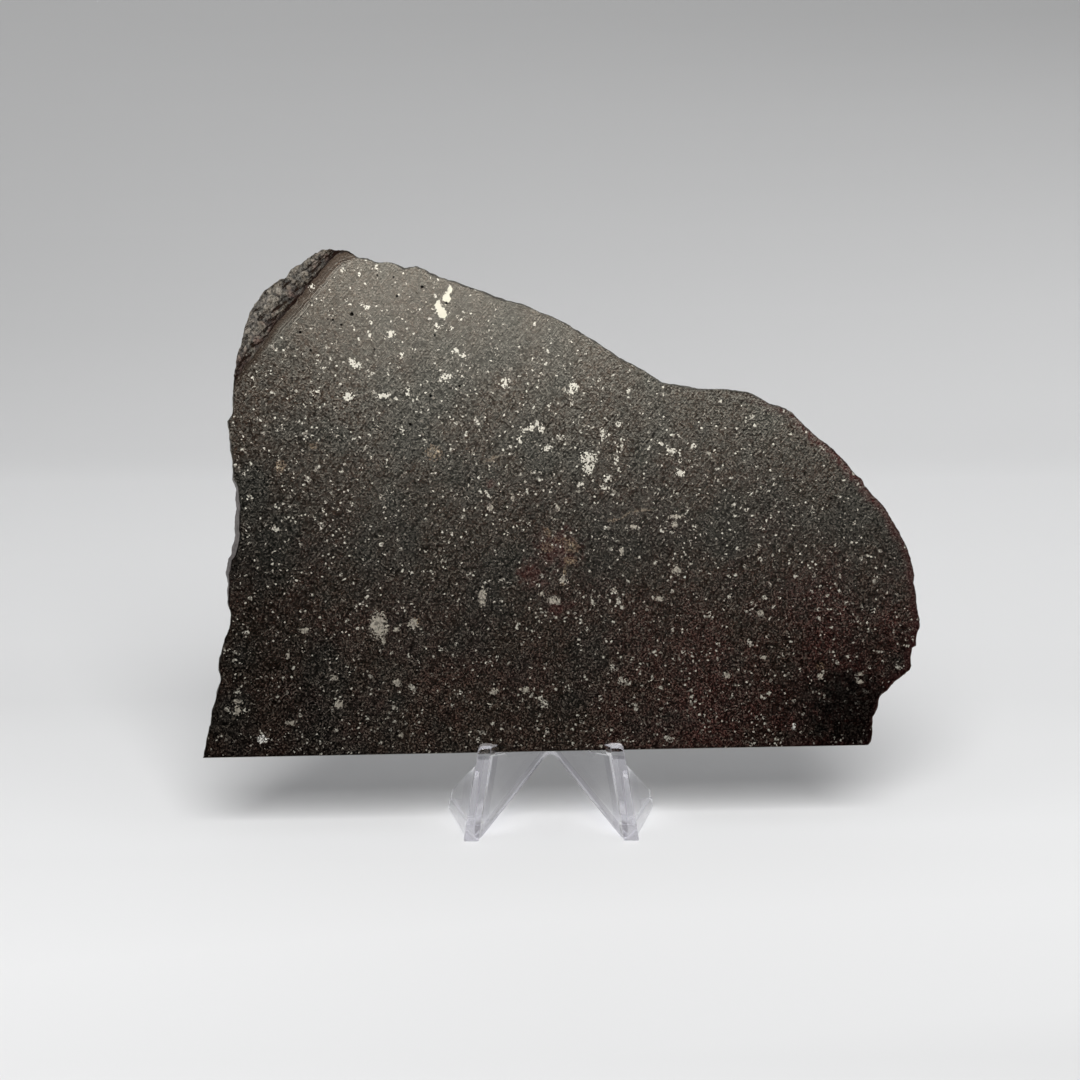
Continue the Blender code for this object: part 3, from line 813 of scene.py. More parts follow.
def sawnFaceMaterial():
    material, tree, shader = newMaterial("sawn stone")
    place = millimetres(tree)
    across, _, upward = sidesOf(tree, place)
    upperRim = rampOf(tree, attributeOf(tree, "fromUpperRim"), 1.0, 11.0, 0.4, 1.0)
    crystals = placeGroup(tree, groups["crystals"], Place=place, Width=fleckSizes["small"][0])
    pick, tone = crystals.outputs
    redness = rampOf(tree, upward, 75.0, 5.0, 0.0, 0.6)
    redness = times(tree, redness, rampOf(tree, across, -10.0, 60.0, 0.5, 1.2))
    colour, grain = placeGroup(tree, groups["ground"], Place=place, Pick=pick, Redness=redness).outputs
    flecks = placeGroup(tree, groups["flecks"], Place=place, Pick=pick, Amount=upperRim).outputs[0]
    ragged = swing(tree, noiseOf(tree, place, 0.5, 2.0, 0.7), 0.9)
    crumbly = plus(tree, ragged, swing(tree, tone, 0.75))
    lessCrumbly = times(tree, crumbly, 0.5)
    wide = swing(tree, noiseOf(tree, place, 2.2, 2.0, 0.7), 1.5)
    alongSaw = slanted(tree, place, polish["sawSlant"], polish["sawStretch"])
    sawMarks = noiseOf(tree, alongSaw, 1.0, 2.0, 0.6)
    livelier = rampOf(tree, sawMarks, 0.3, 0.7, 0.8, 1.25)
    livelier = times(tree, livelier, rampOf(tree, upward, 50.0, 10.0, 1.0, 1.5))
    colour = vectorOf(tree, "SCALE", colour, livelier)

    # darker near the rim lower down, a painted highlight along the upper rim, redder near the right rim, and
    # a plain facet with saw lines beside the broken strip
    fromRim, fromStep = attributeOf(tree, "fromRim"), attributeOf(tree, "fromStep")
    darkRim = rampOf(tree, plus(tree, fromRim, times(tree, ragged, 0.5)), 0.7, 0.2, 0.0, 0.5)
    darkRim = times(tree, darkRim, rampOf(tree, upward, 80.0, 45.0))
    # painted highlight: a lighter line right along the rim, on the upper part of the face only
    paintedRimHighlight = times(tree, rampOf(tree, fromRim, 0.3, 0.1, 0.0, 0.8), rampOf(tree, upward, 40.0, 70.0))
    redRim = rampOf(tree, plus(tree, fromRim, wide), 2.4, 0.2, 0.0, 0.85)
    redRim = times(tree, redRim, rampOf(tree, across, 35.0, 62.0))
    facet = rampOf(tree, upward, bandStart, bandFull)
    band = times(tree, rampOf(tree, fromStep, -bandWidth - 0.3, -bandWidth + 0.2), facet)
    # painted shade: the face beside the strip's step turns plain brown without flecks and is made to reflect
    # little, carrying the groove's dark line onto the face
    paintedStepShade = rampOf(tree, plus(tree, fromStep, times(tree, ragged, 0.35)), -2.5, -0.3, 0.0, 0.93)
    waves = timesPlus(tree, noiseOf(tree, alongSaw, 1.0, 2.0, 0.5), 5.0, times(tree, fromStep, 11.0))
    outer = times(tree, rampOf(tree, fromStep, -3.2, -2.2), rampOf(tree, fromStep, -0.4, -1.2))
    sawLines = times(tree, rampOf(tree, mathOf(tree, "SINE", waves), 0.7, 1.0, 0.0, 0.6), outer, facet)
    black = markOf(tree, "blackMark", wide, 1.0, 0.5, 0.8)
    red = markOf(tree, "redMark", wide, 0.75, 0.6, 0.45)
    colour = layered(
        tree, colour, (darkRim, groundMass["black"]), (paintedRimHighlight, grains["rimHighlight"]), (redRim, grains["redRim"]),
        (sawLines, grains["saw"]), (paintedStepShade, groundMass["brown"]), (black, groundMass["black"]),
        (red, grains["red"]),
    )

    # the metal flecks, and the larger marks
    bare = highest(tree, band, paintedStepShade, black)
    fleckMask = times(tree, flecks, timesPlus(tree, bare, -0.95, 1.0))
    fleckColour = mixOf(tree, rampOf(tree, tone, 0.15, 0.85), grains["dull"], grains["cream"])
    tanMiddle = markOf(tree, "tanMark", lessCrumbly, 0.5, 0.15, 0.75)
    tan = times(tree, markOf(tree, "tanMark", lessCrumbly, 0.95, 0.2, 0.75), without(tree, tanMiddle))
    tan = times(tree, tan, rampOf(tree, grain, 0.38, 0.56, 0.25, 1.0))
    tanColour = mixOf(tree, rampOf(tree, tone, 0.3, 0.8), grains["tan"], grains["paleTan"])
    vein = markOf(tree, "veinMark", times(tree, ragged, 0.6), 0.95, 0.25, 0.85)
    grey = markOf(tree, "greyMark", lessCrumbly, 0.85, 0.05)
    greyColour = mixOf(tree, rampOf(tree, grain, 0.35, 0.6), grains["dull"], grains["grey"])
    cream = markOf(tree, "creamMark", crumbly, 0.75, 0.05)
    uneven = swing(tree, noiseOf(tree, place, 1.1, 3.0, 0.6), 1.2)
    bright = markOf(tree, "metalMark", timesPlus(tree, ragged, 0.25, uneven), 1.02, 0.06)
    white = markOf(tree, "whiteMark", lessCrumbly, 0.9, 0.06)

    # painted shade: black pinholes, and the larger pits, coloured black and made to reflect little for the
    # shade inside them
    holes = addNode(tree, "ShaderNodeTexVoronoi")
    plug(tree, place, holes.inputs["Vector"])
    holes.inputs["Scale"].default_value = 1.0 / 1.6
    holeEdge = timesPlus(tree, noiseOf(tree, place, 0.3, 2.0, 0.6), 0.4, holes.outputs["Distance"])
    pitMark = markOf(tree, "pitMark", times(tree, ragged, 0.5), 0.95, 0.12)
    pits = highest(tree, pitMark, rampOf(tree, holeEdge, 0.3, 0.25))
    colour = layered(
        tree, colour, (fleckMask, fleckColour), (tan, tanColour), (vein, grains["vein"]), (grey, greyColour),
        (cream, grains["cream"]), (bright, grains["bright"]), (white, grains["white"]),
        (pits, groundMass["black"]),
    )
    plug(tree, colour, shader.inputs["Base Color"])

    # dark iron-bearing parts reflect less than the rest, and there are more of them where the polish is poor
    metal = times(tree, highest(tree, fleckMask, grey, cream, bright, sawLines), without(tree, pits))
    poor = rampOf(tree, across, *polish["lowRight"])
    poor = times(tree, poor, rampOf(tree, upward, *polish["lowRightHeight"]))
    poor = highest(tree, poor, rampOf(tree, across, *polish["left"]))
    iron = times(tree, rampOf(tree, grain, *groundMass["iron"]), rampOf(tree, upward, 62.0, 88.0, 1.0, 0.84))
    iron = times(tree, iron, rampOf(tree, upward, 68.0, 94.0, 1.0, 0.45))
    iron = plus(tree, iron, rampOf(tree, upward, 68.0, 94.0, 0.0, 0.2))
    # the face beside the step reflects little as painted shade, and the plain facet beside the strip reflects
    # less too
    iron = highest(tree, plus(tree, iron, poor, clamp=True), paintedStepShade, times(tree, band, 0.88))
    iron = times(tree, iron, without(tree, highest(tree, metal, tan)))
    plug(tree, highest(tree, times(tree, metal, grains["metallic"]), iron, pits), shader.inputs["Metallic"])
    shader.inputs["Specular Tint"].default_value = polish["tint"]
    grit = noiseOf(tree, place, grainSize, 2.0, 0.75)
    gloss = plus(tree, rampOf(tree, sawMarks, 0.3, 0.7, 0.14, 0.18), rampOf(tree, grit, 0.5, 0.72, 0.0, 0.14))
    gloss = timesPlus(tree, metal, 0.16, timesPlus(tree, band, 0.08, gloss))
    plug(tree, highest(tree, gloss, pits), shader.inputs["Roughness"])
    addBump(tree, shader, plus(tree, sawMarks, grit), 0.5, 0.00006)
    return material


broken = {
    "warm": (0.100, 0.083, 0.062, 1.0),
    "pale": (0.155, 0.138, 0.112, 1.0),
    "rust": (0.055, 0.025, 0.017, 1.0),
    # painted shade: the colour of the crevices in the broken strip
    "crack": (0.016, 0.009, 0.0065, 1.0),
    # the groove along the strip's inner edge: a dark reddish tint, deepened with painted shade
    "groove": (0.020, 0.0095, 0.0070, 1.0),
    # the pale colour laid on the rind: on its left side it is painted reflection, and it also lies along the
    # top
    "bulge": (0.135, 0.120, 0.115, 1.0),
    "creviceSlant": -42.0,
    "creviceStretch": (2.8, 1.0, 0.75),
    "fleckAmount": 0.3,
}


def brokenMaterial():
    material, tree, shader = newMaterial("broken stone")
    place = millimetres(tree)
    pick = placeGroup(tree, groups["crystals"], Place=place, Width=fleckSizes["small"][0]).outputs["Pick"]
    amount = broken["fleckAmount"]
    flecks = placeGroup(tree, groups["flecks"], Place=place, Pick=pick, Amount=amount).outputs[0]
    crumbs = noiseOf(tree, place, 0.5, 4.0, 0.8)
    fromStep = attributeOf(tree, "fromStep")
    pale = rampOf(tree, noiseOf(tree, place, 1.7, 3.0, 0.65), 0.38, 0.64)
    rusty = rampOf(tree, noiseOf(tree, place, 2.6, 3.0, 0.65), 0.46, 0.62, 0.0, 0.8)
    rusty = times(tree, rusty, rampOf(tree, fromStep, 3.2, 1.2, 0.2, 1.0))
    colour = layered(tree, broken["warm"], (pale, broken["pale"]), (rusty, broken["rust"]))
    # painted shade: darker in the cracks between the crumbs and where the crumb noise that also makes the
    # bump is low, lighter on their tops
    shade = rampOf(tree, attributeOf(tree, "crumbTop"), 0.1, 0.55, 0.3, 1.2)
    shade = times(tree, shade, rampOf(tree, crumbs, 0.32, 0.68, 0.3, 1.9))
    colour = vectorOf(tree, "SCALE", colour, shade)
    # painted shade: dark crevices run along the strip, closer together near the groove, and the bump sinks
    # them
    alongStrip = slanted(tree, place, broken["creviceSlant"], broken["creviceStretch"])
    split = rampOf(tree, fromStep, 3.5, 0.5, -0.03, 0.05)
    split = plus(tree, noiseOf(tree, alongStrip, 1.0, 5.0, 0.75), split)
    cracks = rampOf(tree, split, 0.52, 0.6)
    # the groove: its reddish tint and painted shade, patchy along its length
    groove = rampOf(tree, timesPlus(tree, crumbs, 1.2, fromStep), 1.5, 0.8)
    patchy = rampOf(tree, noiseOf(tree, place, 4.0, 3.0, 0.6), 0.40, 0.60, 0.25, 1.0)
    groove = times(tree, rampOf(tree, fromStep, 0.0, 0.12), groove, patchy)
    colour = layered(
        tree, colour, (times(tree, flecks, 0.4), grains["cream"]),
        (times(tree, cracks, 0.92), broken["crack"]), (groove, broken["groove"]),
    )
    plug(tree, colour, shader.inputs["Base Color"])
    # the cracks, the groove and the low crumbs reflect little too, which adds to the painted shade
    plug(tree, highest(tree, cracks, groove, rampOf(tree, crumbs, 0.5, 0.35)), shader.inputs["Metallic"])
    plug(tree, rampOf(tree, crumbs, 0.35, 0.65, 0.85, 0.5), shader.inputs["Roughness"])
    addBump(tree, shader, timesPlus(tree, cracks, -0.6, crumbs), 0.9, 0.0003)
    return material


def rindMaterial():
    material, tree, shader = newMaterial("weathered edge")
    place = millimetres(tree)
    across, _, upward = sidesOf(tree, place)
    pick = placeGroup(tree, groups["crystals"], Place=place, Width=fleckSizes["small"][0]).outputs["Pick"]
    ground = placeGroup(tree, groups["ground"], Place=place, Pick=pick, Redness=0.55)
    crust = noiseOf(tree, place, 0.8, 4.0, 0.7)
    colour = vectorOf(tree, "SCALE", ground.outputs["Colour"], rampOf(tree, crust, 0.35, 0.65, 0.6, 1.8))
    # painted reflection: paler on the left side, where the bulging rind would mirror the bright backdrop at a
    # grazing angle; it is paler along the top as well
    paintedSideReflection = times(tree, rampOf(tree, across, -55.0, -61.0), rampOf(tree, upward, 22.0, 52.0, 0.25, 1.0))
    pale = highest(tree, paintedSideReflection, rampOf(tree, upward, 40.0, 65.0, 0.0, 0.7))
    pale = times(tree, pale, rampOf(tree, crust, 0.35, 0.6, 0.45, 1.0))
    plug(tree, mixOf(tree, pale, colour, broken["bulge"]), shader.inputs["Base Color"])
    shader.inputs["Roughness"].default_value = 0.42
    addBump(tree, shader, crust, 0.7, 0.0002)
    return material


easel = {
    "edgeRound": 0.28,
    "postRound": 0.42,
    "footOut": 16.05,
    "lipOut": 13.2,
    "footWidth": 3.1,
    "footHeight": 3.5,
    "footDepth": 4.0,
    "postWidth": 2.8,
    "postFront": 0.2,
    "postDepth": 4.6,
    "postLow": 1.0,
    "lipThickness": 3.2,
    "webStart": 1.6,
    "lipTop": 19.4,
    "lipRound": 1.2,
    "ledgeHeight": 17.1,
    "slotWidth": 6.7,
    "slotHeight": 45.0,
    "slotLength": 60.0,
    "webThickness": 2.6,
    "webPast": 2.5,
    "webForward": 2.0,
    "archHeight": 10.3,
    "archFlat": 2.2,
    "archBack": 24.0,
    "archBand": 2.35,
    "archToe": 1.0,
    "backrestTop": 48.0,
    "wingThickness": 1.8,
    "wingHigh": 14.8,
    "wingLow": 4.1,
    "wingShoulder": 3.0,
    "wingLength": 20.9,
    "wingSpread": 0.22,
    "wingLean": 0.12,
    "railWidth": 2.2,
    "railHigh": 3.45,
    "railLow": 2.4,
    "railStart": 0.5,
    "railPast": 0.3,
}


def plate(name, corners, thickness, rounding, edge=1):
    # a flat plate with rounded edges; its corners lie in its middle plane, its thickness is a vector,
    # and edge is its edges' place in the list of easel materials
    shape = bmesh.new()
    near = [shape.verts.new((corner - thickness / 2.0) * mm) for corner in corners]
    far = [shape.verts.new((corner + thickness / 2.0) * mm) for corner in corners]
    for i in range(len(corners)):
        after = (i + 1) % len(corners)
        shape.faces.new((near[i], near[after], far[after], far[i]))
    for face in shape.faces:
        face.material_index = edge
    shape.faces.new(reversed(near))
    shape.faces.new(far)
    bmesh.ops.recalc_face_normals(shape, faces=shape.faces)
    if rounding:
        bmesh.ops.bevel(
            shape, geom=shape.edges[:], offset=rounding * mm, segments=2, profile=0.5, affect="EDGES",
            clamp_overlap=True, material=1,
        )
    return addPiece(name, shape, easelMaterials)


def postX(height):
    return easel["footOut"] + (easel["lipOut"] - easel["footOut"]) * height / easel["lipTop"]


def webPoint(x, z):
    backPerIn = (easel["archBack"] - easel["webStart"]) / (postX(easel["archHeight"]) - easel["archFlat"])
    return Vector((x, easel["webStart"] + (postX(z) - x) * backPerIn, z))


def backrestX(height):
    lean = math.radians(stone["lean"])
    slotBack = easel["lipThickness"] + easel["slotWidth"] / math.cos(lean)
    slotBack += (height - easel["ledgeHeight"]) * math.tan(lean)
    start, end = webPoint(0.0, height), webPoint(easel["footOut"], height)
    return easel["footOut"] * (start.y - slotBack) / (start.y - end.y)


def wingPoint(y, z):
    out = (y - easel["webStart"]) * easel["wingSpread"] - z * easel["wingLean"]
    return Vector((easel["footOut"] + out, y, z))


def postLine():
    # a post's middle from the front: how far it moves out for each millimetre up, and where it starts
    return (easel["lipOut"] - easel["footOut"]) / easel["lipTop"], easel["footOut"]


def archLine():
    # the same for the arch's slanting edge
    toe = easel["footOut"] - easel["archToe"]
    return (easel["archFlat"] - toe) / easel["archHeight"], toe


def makeFoot():
    half, high = easel["footWidth"] / 2.0, easel["footHeight"]
    middle = easel["footDepth"] / 2.0
    corners = [
        Vector((easel["footOut"] - half, middle, 0.0)), Vector((easel["footOut"] + half, middle, 0.0)),
        Vector((postX(high) + half, middle, high)), Vector((postX(high) - half, middle, high)),
    ]
    return plate("foot", corners, Vector((0.0, easel["footDepth"], 0.0)), easel["edgeRound"])


def makePost():
    # its lip is rounded on the outer side
    middle = easel["postFront"] + easel["postDepth"] / 2.0
    half, top, low = easel["postWidth"] / 2.0, easel["lipTop"], easel["postLow"]
    corners = [Vector((postX(low) - half, middle, low)), Vector((postX(low) + half, middle, low))]
    for step in range(7):
        turn = math.radians(15.0 * step)
        out = postX(top) + half - easel["lipRound"] * (1.0 - math.cos(turn))
        corners.append(Vector((out, middle, top - easel["lipRound"] * (1.0 - math.sin(turn)))))
    corners.append(Vector((postX(top) - half, middle, top)))
    return plate("post", corners, Vector((0.0, easel["postDepth"], 0.0)), easel["postRound"])


def makeWeb():
    # it reaches past the middle and into the slot, where it's cut off later
    past, forward = easel["webPast"], easel["webForward"]
    arch, high, ledge = easel["archHeight"], easel["backrestTop"], easel["ledgeHeight"]
    corners = [
        webPoint(easel["footOut"], 0.0), webPoint(easel["footOut"] - easel["archToe"], 0.0),
        webPoint(easel["archFlat"], arch), webPoint(-past, arch), webPoint(-past, high),
        webPoint(backrestX(high) + forward, high), webPoint(backrestX(ledge) + forward, ledge + 2.0),
        webPoint(postX(easel["lipTop"]), easel["lipTop"] - 0.1),
    ]
    across = (corners[0] - corners[3]).cross(Vector((0.0, 0.0, 1.0))).normalized()
    return plate("web", corners, across * easel["webThickness"], easel["edgeRound"], edge=2)


def makeWing():
    start, length = easel["webStart"], easel["wingLength"]
    corners = [
        wingPoint(start, 0.0), wingPoint(length, 0.0), wingPoint(length, easel["wingLow"]),
        wingPoint(easel["wingShoulder"], easel["wingHigh"]), wingPoint(start, easel["wingHigh"]),
    ]
    return plate("wing", corners, Vector((easel["wingThickness"], 0.0, 0.0)), easel["edgeRound"])


def makeRail():
    start, end = easel["railStart"], easel["wingLength"] + easel["railPast"]
    corners = [
        wingPoint(start, 0.0), wingPoint(end, 0.0),
        wingPoint(end, easel["railLow"]), wingPoint(start, easel["railHigh"]),
    ]
    return plate("rail", corners, Vector((easel["railWidth"], 0.0, 0.0)), easel["edgeRound"])


def makeSlot():
    # the room for the slab, which is taken out of the easel
    lean = math.radians(stone["lean"])
    backward = Vector((0.0, math.cos(lean), -math.sin(lean))) * easel["slotWidth"]
    upward = Vector((0.0, math.sin(lean), math.cos(lean))) * easel["slotHeight"]
    corner = Vector((0.0, easel["lipThickness"], easel["ledgeHeight"]))
    corners = [corner, corner + backward, corner + backward + upward, corner + upward]
    return plate("slot", corners, Vector((easel["slotLength"], 0.0, 0.0)), 0.0)


def allOf(shape):
    return shape.verts[:] + shape.edges[:] + shape.faces[:]


def splitAt(shape, place, upright, clear=False):
    # new edges where a plane crosses the shape, and nothing beyond it if it's cleared
    bmesh.ops.bisect_plane(
        shape, geom=allOf(shape), dist=0.00001, plane_co=place * mm, plane_no=upright.normalized(),
        clear_outer=clear,
    )


def makeEasel():
    # its right half, mirrored
    web, slot = makeWeb(), makeSlot()
    others = (makePost(), makeFoot(), makeWing(), makeRail())
    for other, operation in [(other, "UNION") for other in others] + [(slot, "DIFFERENCE")]:
        modifier = web.modifiers.new(other.name, "BOOLEAN")
        modifier.object = other
        modifier.operation = operation
        modifier.solver = "EXACT"
    bpy.context.view_layer.update()
    solid = web.evaluated_get(bpy.context.evaluated_depsgraph_get())
    shape = bmesh.new()
    shape.from_mesh(solid.to_mesh())
    solid.to_mesh_clear()
    for helper in (web, slot) + others:
        bpy.data.objects.remove(helper, do_unlink=True)

    # the fronts of the posts and feet below the slab get the milky material, and so does a band along the
    # arch, where it is painted reflection of the underside face that the clear acrylic turns back inside
    slant, toe = archLine()
    ledge, band = easel["ledgeHeight"], easel["archBand"]
    splitAt(shape, Vector((0.0, 0.0, 0.0)), Vector((-1.0, 0.0, 0.0)), clear=True)
    splitAt(shape, Vector((0.0, 0.0, ledge)), Vector((0.0, 0.0, 1.0)))
    splitAt(shape, Vector((toe + band, 0.0, 0.0)), Vector((1.0, 0.0, -slant)))
    for face in shape.faces:
        middle = face.calc_center_median() / mm
        onPost = middle.y < 1.0 and middle.z < ledge
        onBand = middle.x - toe - slant * middle.z < band and middle.z < easel["archHeight"]
        if face.material_index == 0 and (onPost or (onBand and face.normal.y < -0.2)):
            face.material_index = 2
    bmesh.ops.mirror(shape, geom=allOf(shape), axis="X", merge_dist=0.00001)
    bmesh.ops.remove_doubles(shape, verts=shape.verts, dist=0.000002)
    bmesh.ops.recalc_face_normals(shape, faces=shape.faces)
    piece = addPiece("clearEasel", shape, easelMaterials, 30.0)
    piece.location = easelPlace
    print("easel:", len(piece.data.polygons), "faces")
    return piece


acrylic = {
    "ior": 1.49,
    "through": (0.985, 0.985, 0.99, 1.0),
    "shadow": (0.86, 0.865, 0.88, 1.0),
    "turnsInside": 2.5,
}

acrylicLooks = {
    "clear": {
        "see": 1.0, "roughness": (0.01, 0.05),
        "deep": (0.88, 0.875, 0.90, 1.0), "light": (0.95, 0.95, 0.96, 1.0), "dense": (0.64, 0.63, 0.68, 1.0),
    },
    # the rounded edges are whitish and partly diffuse: a painted highlight, for the light that the rounded
    # edges reflect and bend
    "edges": {
        "see": 0.75, "roughness": (0.03, 0.10),
        "deep": (0.72, 0.71, 0.75, 1.0), "light": (0.84, 0.83, 0.87, 1.0), "dense": (0.66, 0.65, 0.70, 1.0),
    },
    "milky": {
        "see": 0.78, "roughness": (0.03, 0.12),
        "deep": (0.60, 0.59, 0.64, 1.0), "light": (0.78, 0.77, 0.81, 1.0), "dense": (0.66, 0.65, 0.70, 1.0),
    },
}


def acrylicMaterial(name, look):
    # light passes straight through for shadows, and for a ray that has already turned a few times inside
    material, tree, shader = newMaterial(name)
    clear = addNode(tree, "ShaderNodeBsdfTransparent")
    path = addNode(tree, "ShaderNodeLightPath")
    shadow = path.outputs["Is Shadow Ray"]
    plug(tree, mixOf(tree, shadow, acrylic["through"], acrylic["shadow"]), clear.inputs["Color"])
    late = mathOf(tree, "GREATER_THAN", path.outputs["Ray Depth"], acrylic["turnsInside"])
    blend = addNode(tree, "ShaderNodeMixShader")
    plug(tree, highest(tree, shadow, late), blend.inputs[0])
    plug(tree, shader.outputs[0], blend.inputs[1])
    plug(tree, clear.outputs[0], blend.inputs[2])
    plug(tree, blend.outputs[0], tree.nodes["Material Output"].inputs["Surface"])
    place = millimetres(tree)
    across, _, high = sidesOf(tree, place)
    out = mathOf(tree, "ABSOLUTE", across)

    def outFrom(slant, start):
        return mathOf(tree, "SUBTRACT", out, timesPlus(tree, high, slant, start))

    # seen from the front, the posts and a band along the arch get a darker tint than the thin webs; on the
    # band it is painted reflection of the underside face inside the acrylic
    half, band, top = easel["postWidth"] / 2.0, easel["archBand"], easel["archHeight"]
    post = rampOf(tree, mathOf(tree, "ABSOLUTE", outFrom(*postLine())), half + 0.15, half - 0.05)
    arch = rampOf(tree, outFrom(*archLine()), band, band - 0.15)
    dense = highest(tree, post, times(tree, arch, rampOf(tree, high, top + 0.3, top)))
    swirl = noiseOf(tree, place, 3.0, 3.0, 0.6)
    colour = mixOf(tree, dense, mixOf(tree, swirl, look["deep"], look["light"]), look["dense"])
    plug(tree, colour, shader.inputs["Base Color"])
    shader.inputs["Transmission Weight"].default_value = look["see"]
    shader.inputs["IOR"].default_value = acrylic["ior"]
    cloudy = rampOf(tree, noiseOf(tree, place, 1.1, 3.0, 0.6), 0.4, 0.7, *look["roughness"])
    plug(tree, cloudy, shader.inputs["Roughness"])
    addBump(tree, shader, noiseOf(tree, place, 2.0, 2.0, 0.5), 0.12, 0.0001)
    return material


studio = {
    "floorBack": 420.0,
    "sweepRadius": 420.0,
    "columns": (-1300.0, -260.0, 0.0, 260.0, 1300.0),
    "sweepSteps": 30,
    "sweepStep": 22.0,
    "under": 0.03,
    "keyPlace": (20.0, -1090.0, 960.0),
    "keyTarget": (0.0, 0.0, 50.0),
    "keySize": (1000.0, 700.0),
    "keyPower": 22.4,
    "cardPlace": (170.0, -680.0, 423.0),
    "cardTarget": (170.0, 0.0, 60.0),
    "cardSize": (660.0, 250.0),
    "cardPower": 4.7,
    "worldTint": (0.97, 0.98, 1.0, 1.0),
    "worldLight": 0.5,
    "worldFront": 0.03,  # the room in front of the table is darker
}

# along the paper from under the object to the back and up: its tone, which carries painted light and shade
# (darker up the sweep and far in front, where the room is dark), and how much lighter its right side is, also
# painted light
paperPaintedLights = (
    (-900.0, 0.30, 0.0), (-190.0, 0.34, 0.0), (-135.0, 0.73, -0.11), (-119.0, 0.73, -0.11),
    (-58.0, 0.81, 0.0), (-26.0, 0.815, 0.03), (-4.0, 0.825, 0.03), (25.0, 0.815, 0.034), (89.0, 0.79, 0.07),
    (147.0, 0.83, 0.046), (245.0, 0.873, 0.05), (379.0, 0.90, 0.058), (508.0, 0.783, 0.088),
    (588.0, 0.70, 0.10), (655.0, 0.633, 0.079), (740.0, 0.55, 0.031), (808.0, 0.474, -0.039),
    (1080.0, 0.43, 0.0), (2200.0, 0.43, 0.0),
)


def sweepPoint(along):
    # how far back and how high the paper is at a length along it
    quarter = studio["sweepRadius"] * math.pi / 2.0
    up = min(quarter, max(0.0, along - studio["floorBack"]))
    turn = up / studio["sweepRadius"]
    back = min(along, studio["floorBack"]) + studio["sweepRadius"] * math.sin(turn)
    straight = max(0.0, along - studio["floorBack"] - quarter)
    return back, studio["sweepRadius"] * (1.0 - math.cos(turn)) + straight


def toneAt(along):
    for (nearAt, nearTone, nearShare), (farAt, farTone, farShare) in zip(paperPaintedLights, paperPaintedLights[1:]):
        if along <= farAt:
            share = (along - nearAt) / (farAt - nearAt)
            return nearTone + (farTone - nearTone) * share, nearShare + (farShare - nearShare) * share
    return paperPaintedLights[-1][1:]


def makeFloor():
    stops = {along for along, _, _ in paperPaintedLights}
    stops |= {studio["floorBack"] + studio["sweepStep"] * i for i in range(studio["sweepSteps"] + 1)}
    shape = bmesh.new()
    tone = shape.verts.layers.float.new("paperPaintedLight")
    columns = []
    for x in studio["columns"]:
        column = []
        for along in sorted(stops):
            y, z = sweepPoint(along)
            vert = shape.verts.new((x * mm, y * mm, z * mm))
            shade, share = toneAt(along)
            sideways = max(-1.0, min(1.0, x / studio["columns"][3]))
            # painted light: the paper's tone falls off up the sweep and is lighter on the right
            vert[tone] = shade * (1.0 + share * sideways)
            column.append(vert)
        columns.append(column)
    for left, right in zip(columns, columns[1:]):
        for i in range(len(left) - 1):
            shape.faces.new((left[i], right[i], right[i + 1], left[i + 1]))
    material, tree, shader = newMaterial("pale paper")
    tint = vectorOf(tree, "SCALE", (1.0, 1.0, 1.0), attributeOf(tree, "paperPaintedLight"))
    plug(tree, tint, shader.inputs["Base Color"])
    shader.inputs["Roughness"].default_value = 0.85
    shader.inputs["Specular IOR Level"].default_value = 0.2
    floor = addPiece("paleSweep", shape, [material], 180.0)
    floor.location.z = -studio["under"] * mm
    print("floor and backdrop ready")


def addAreaLight(name, part):
    # part says which of the studio's lengths and powers are this light's
    light = bpy.data.lights.new(name, "AREA")
    light.shape = "RECTANGLE"
    light.size, light.size_y = (side * mm for side in studio[part + "Size"])
    light.energy = studio[part + "Power"]
    lamp = bpy.data.objects.new(name, light)
    bpy.context.collection.objects.link(lamp)
    lamp.location = Vector(studio[part + "Place"]) * mm
    ahead = Vector(studio[part + "Target"]) * mm - lamp.location
    lamp.rotation_euler = ahead.to_track_quat("-Z", "Y").to_euler()
    return lamp


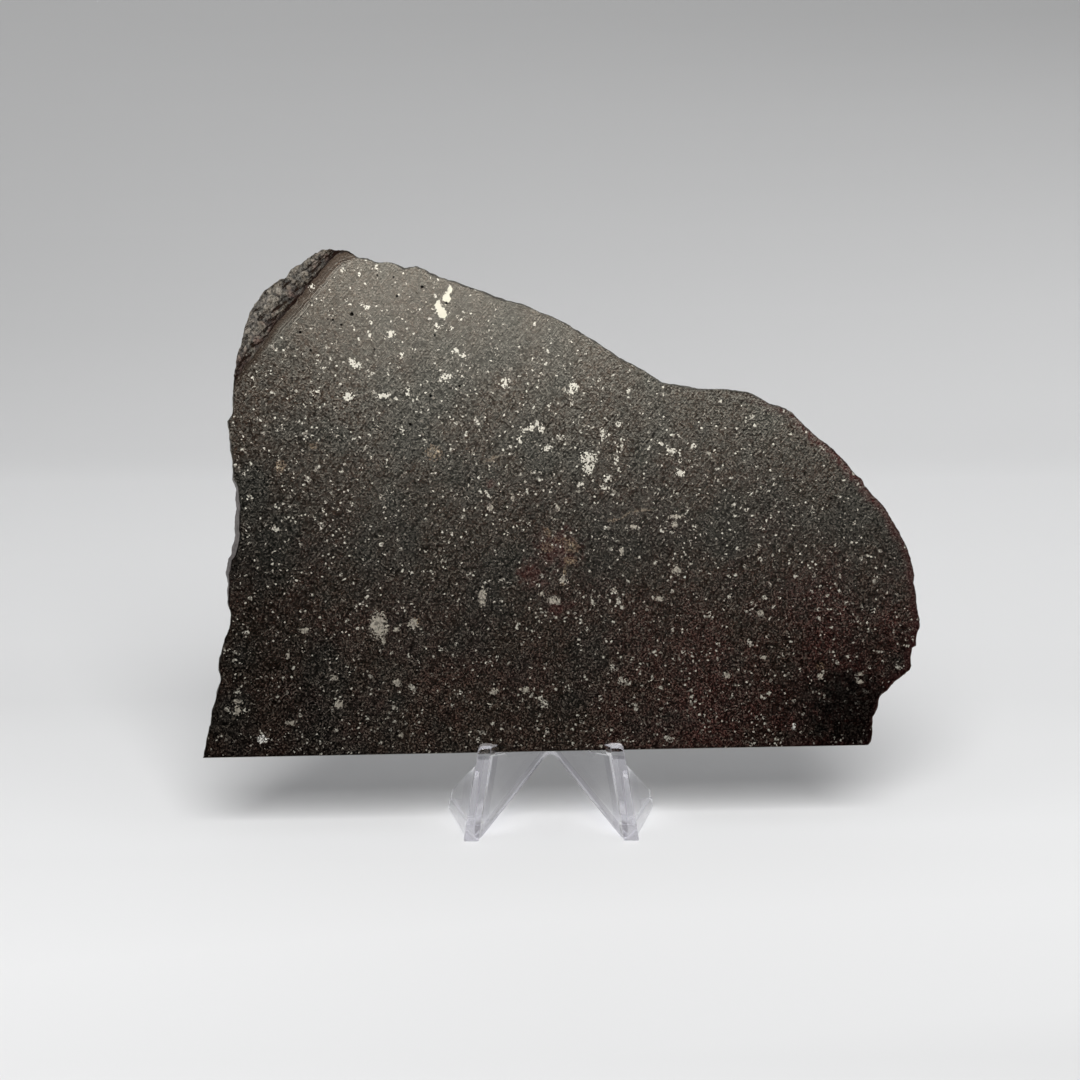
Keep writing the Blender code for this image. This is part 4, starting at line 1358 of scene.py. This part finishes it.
def makeLights():
    addAreaLight("key softbox", "key")
    addAreaLight("low card", "card").visible_diffuse = False  # only the polish sees it
    world = bpy.data.worlds.new("studio")
    world.use_nodes = True
    bpy.context.scene.world = world
    tree = world.node_tree
    background = tree.nodes["Background"]
    background.inputs["Color"].default_value = studio["worldTint"]
    depth = sidesOf(tree, addNode(tree, "ShaderNodeTexCoord").outputs["Generated"])[1]
    strength = rampOf(tree, depth, -0.9, -0.3, studio["worldFront"], studio["worldLight"])
    plug(tree, strength, background.inputs["Strength"])
    print("lights ready")


view = {
    "down": 12.0,
    "roll": 0.25,
    "lens": 80.0,
    "sensor": 36.0,
    "place": (-2.0, -457.5, 158.97),  # from the easel's front middle
}


def makeCamera():
    # it looks down a little, and its level line is tipped
    tilt, roll = math.radians(view["down"]), math.radians(view["roll"])
    ahead = Vector((0.0, math.cos(tilt), -math.sin(tilt)))
    level = Vector((1.0, 0.0, 0.0))
    upright = Vector((0.0, math.sin(tilt), math.cos(tilt)))
    right = level * math.cos(roll) - upright * math.sin(roll)
    up = level * math.sin(roll) + upright * math.cos(roll)
    data = bpy.data.cameras.new("camera")
    data.lens = view["lens"]
    data.sensor_width = view["sensor"]
    data.clip_start = 0.01
    camera = bpy.data.objects.new("camera", data)
    bpy.context.collection.objects.link(camera)
    turned = Matrix((right, up, -ahead)).transposed().to_4x4()
    turned.translation = Vector(view["place"]) * mm + easelPlace
    camera.matrix_world = turned
    bpy.context.scene.camera = camera
    print("camera ready")


stoneGroups()
slicePiece = makeStone([sawnFaceMaterial(), brokenMaterial(), rindMaterial()])
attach(slicePiece, "root")
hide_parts("slice")
easelMaterials = [
    acrylicMaterial("clear acrylic", acrylicLooks["clear"]),
    acrylicMaterial("acrylic edges", acrylicLooks["edges"]),
    acrylicMaterial("milky acrylic", acrylicLooks["milky"]),
]
easelPiece = makeEasel()
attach(easelPiece, "root")
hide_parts("easel")
makeFloor()
makeLights()
makeCamera()
bpy.context.scene.view_settings.view_transform = "Standard"
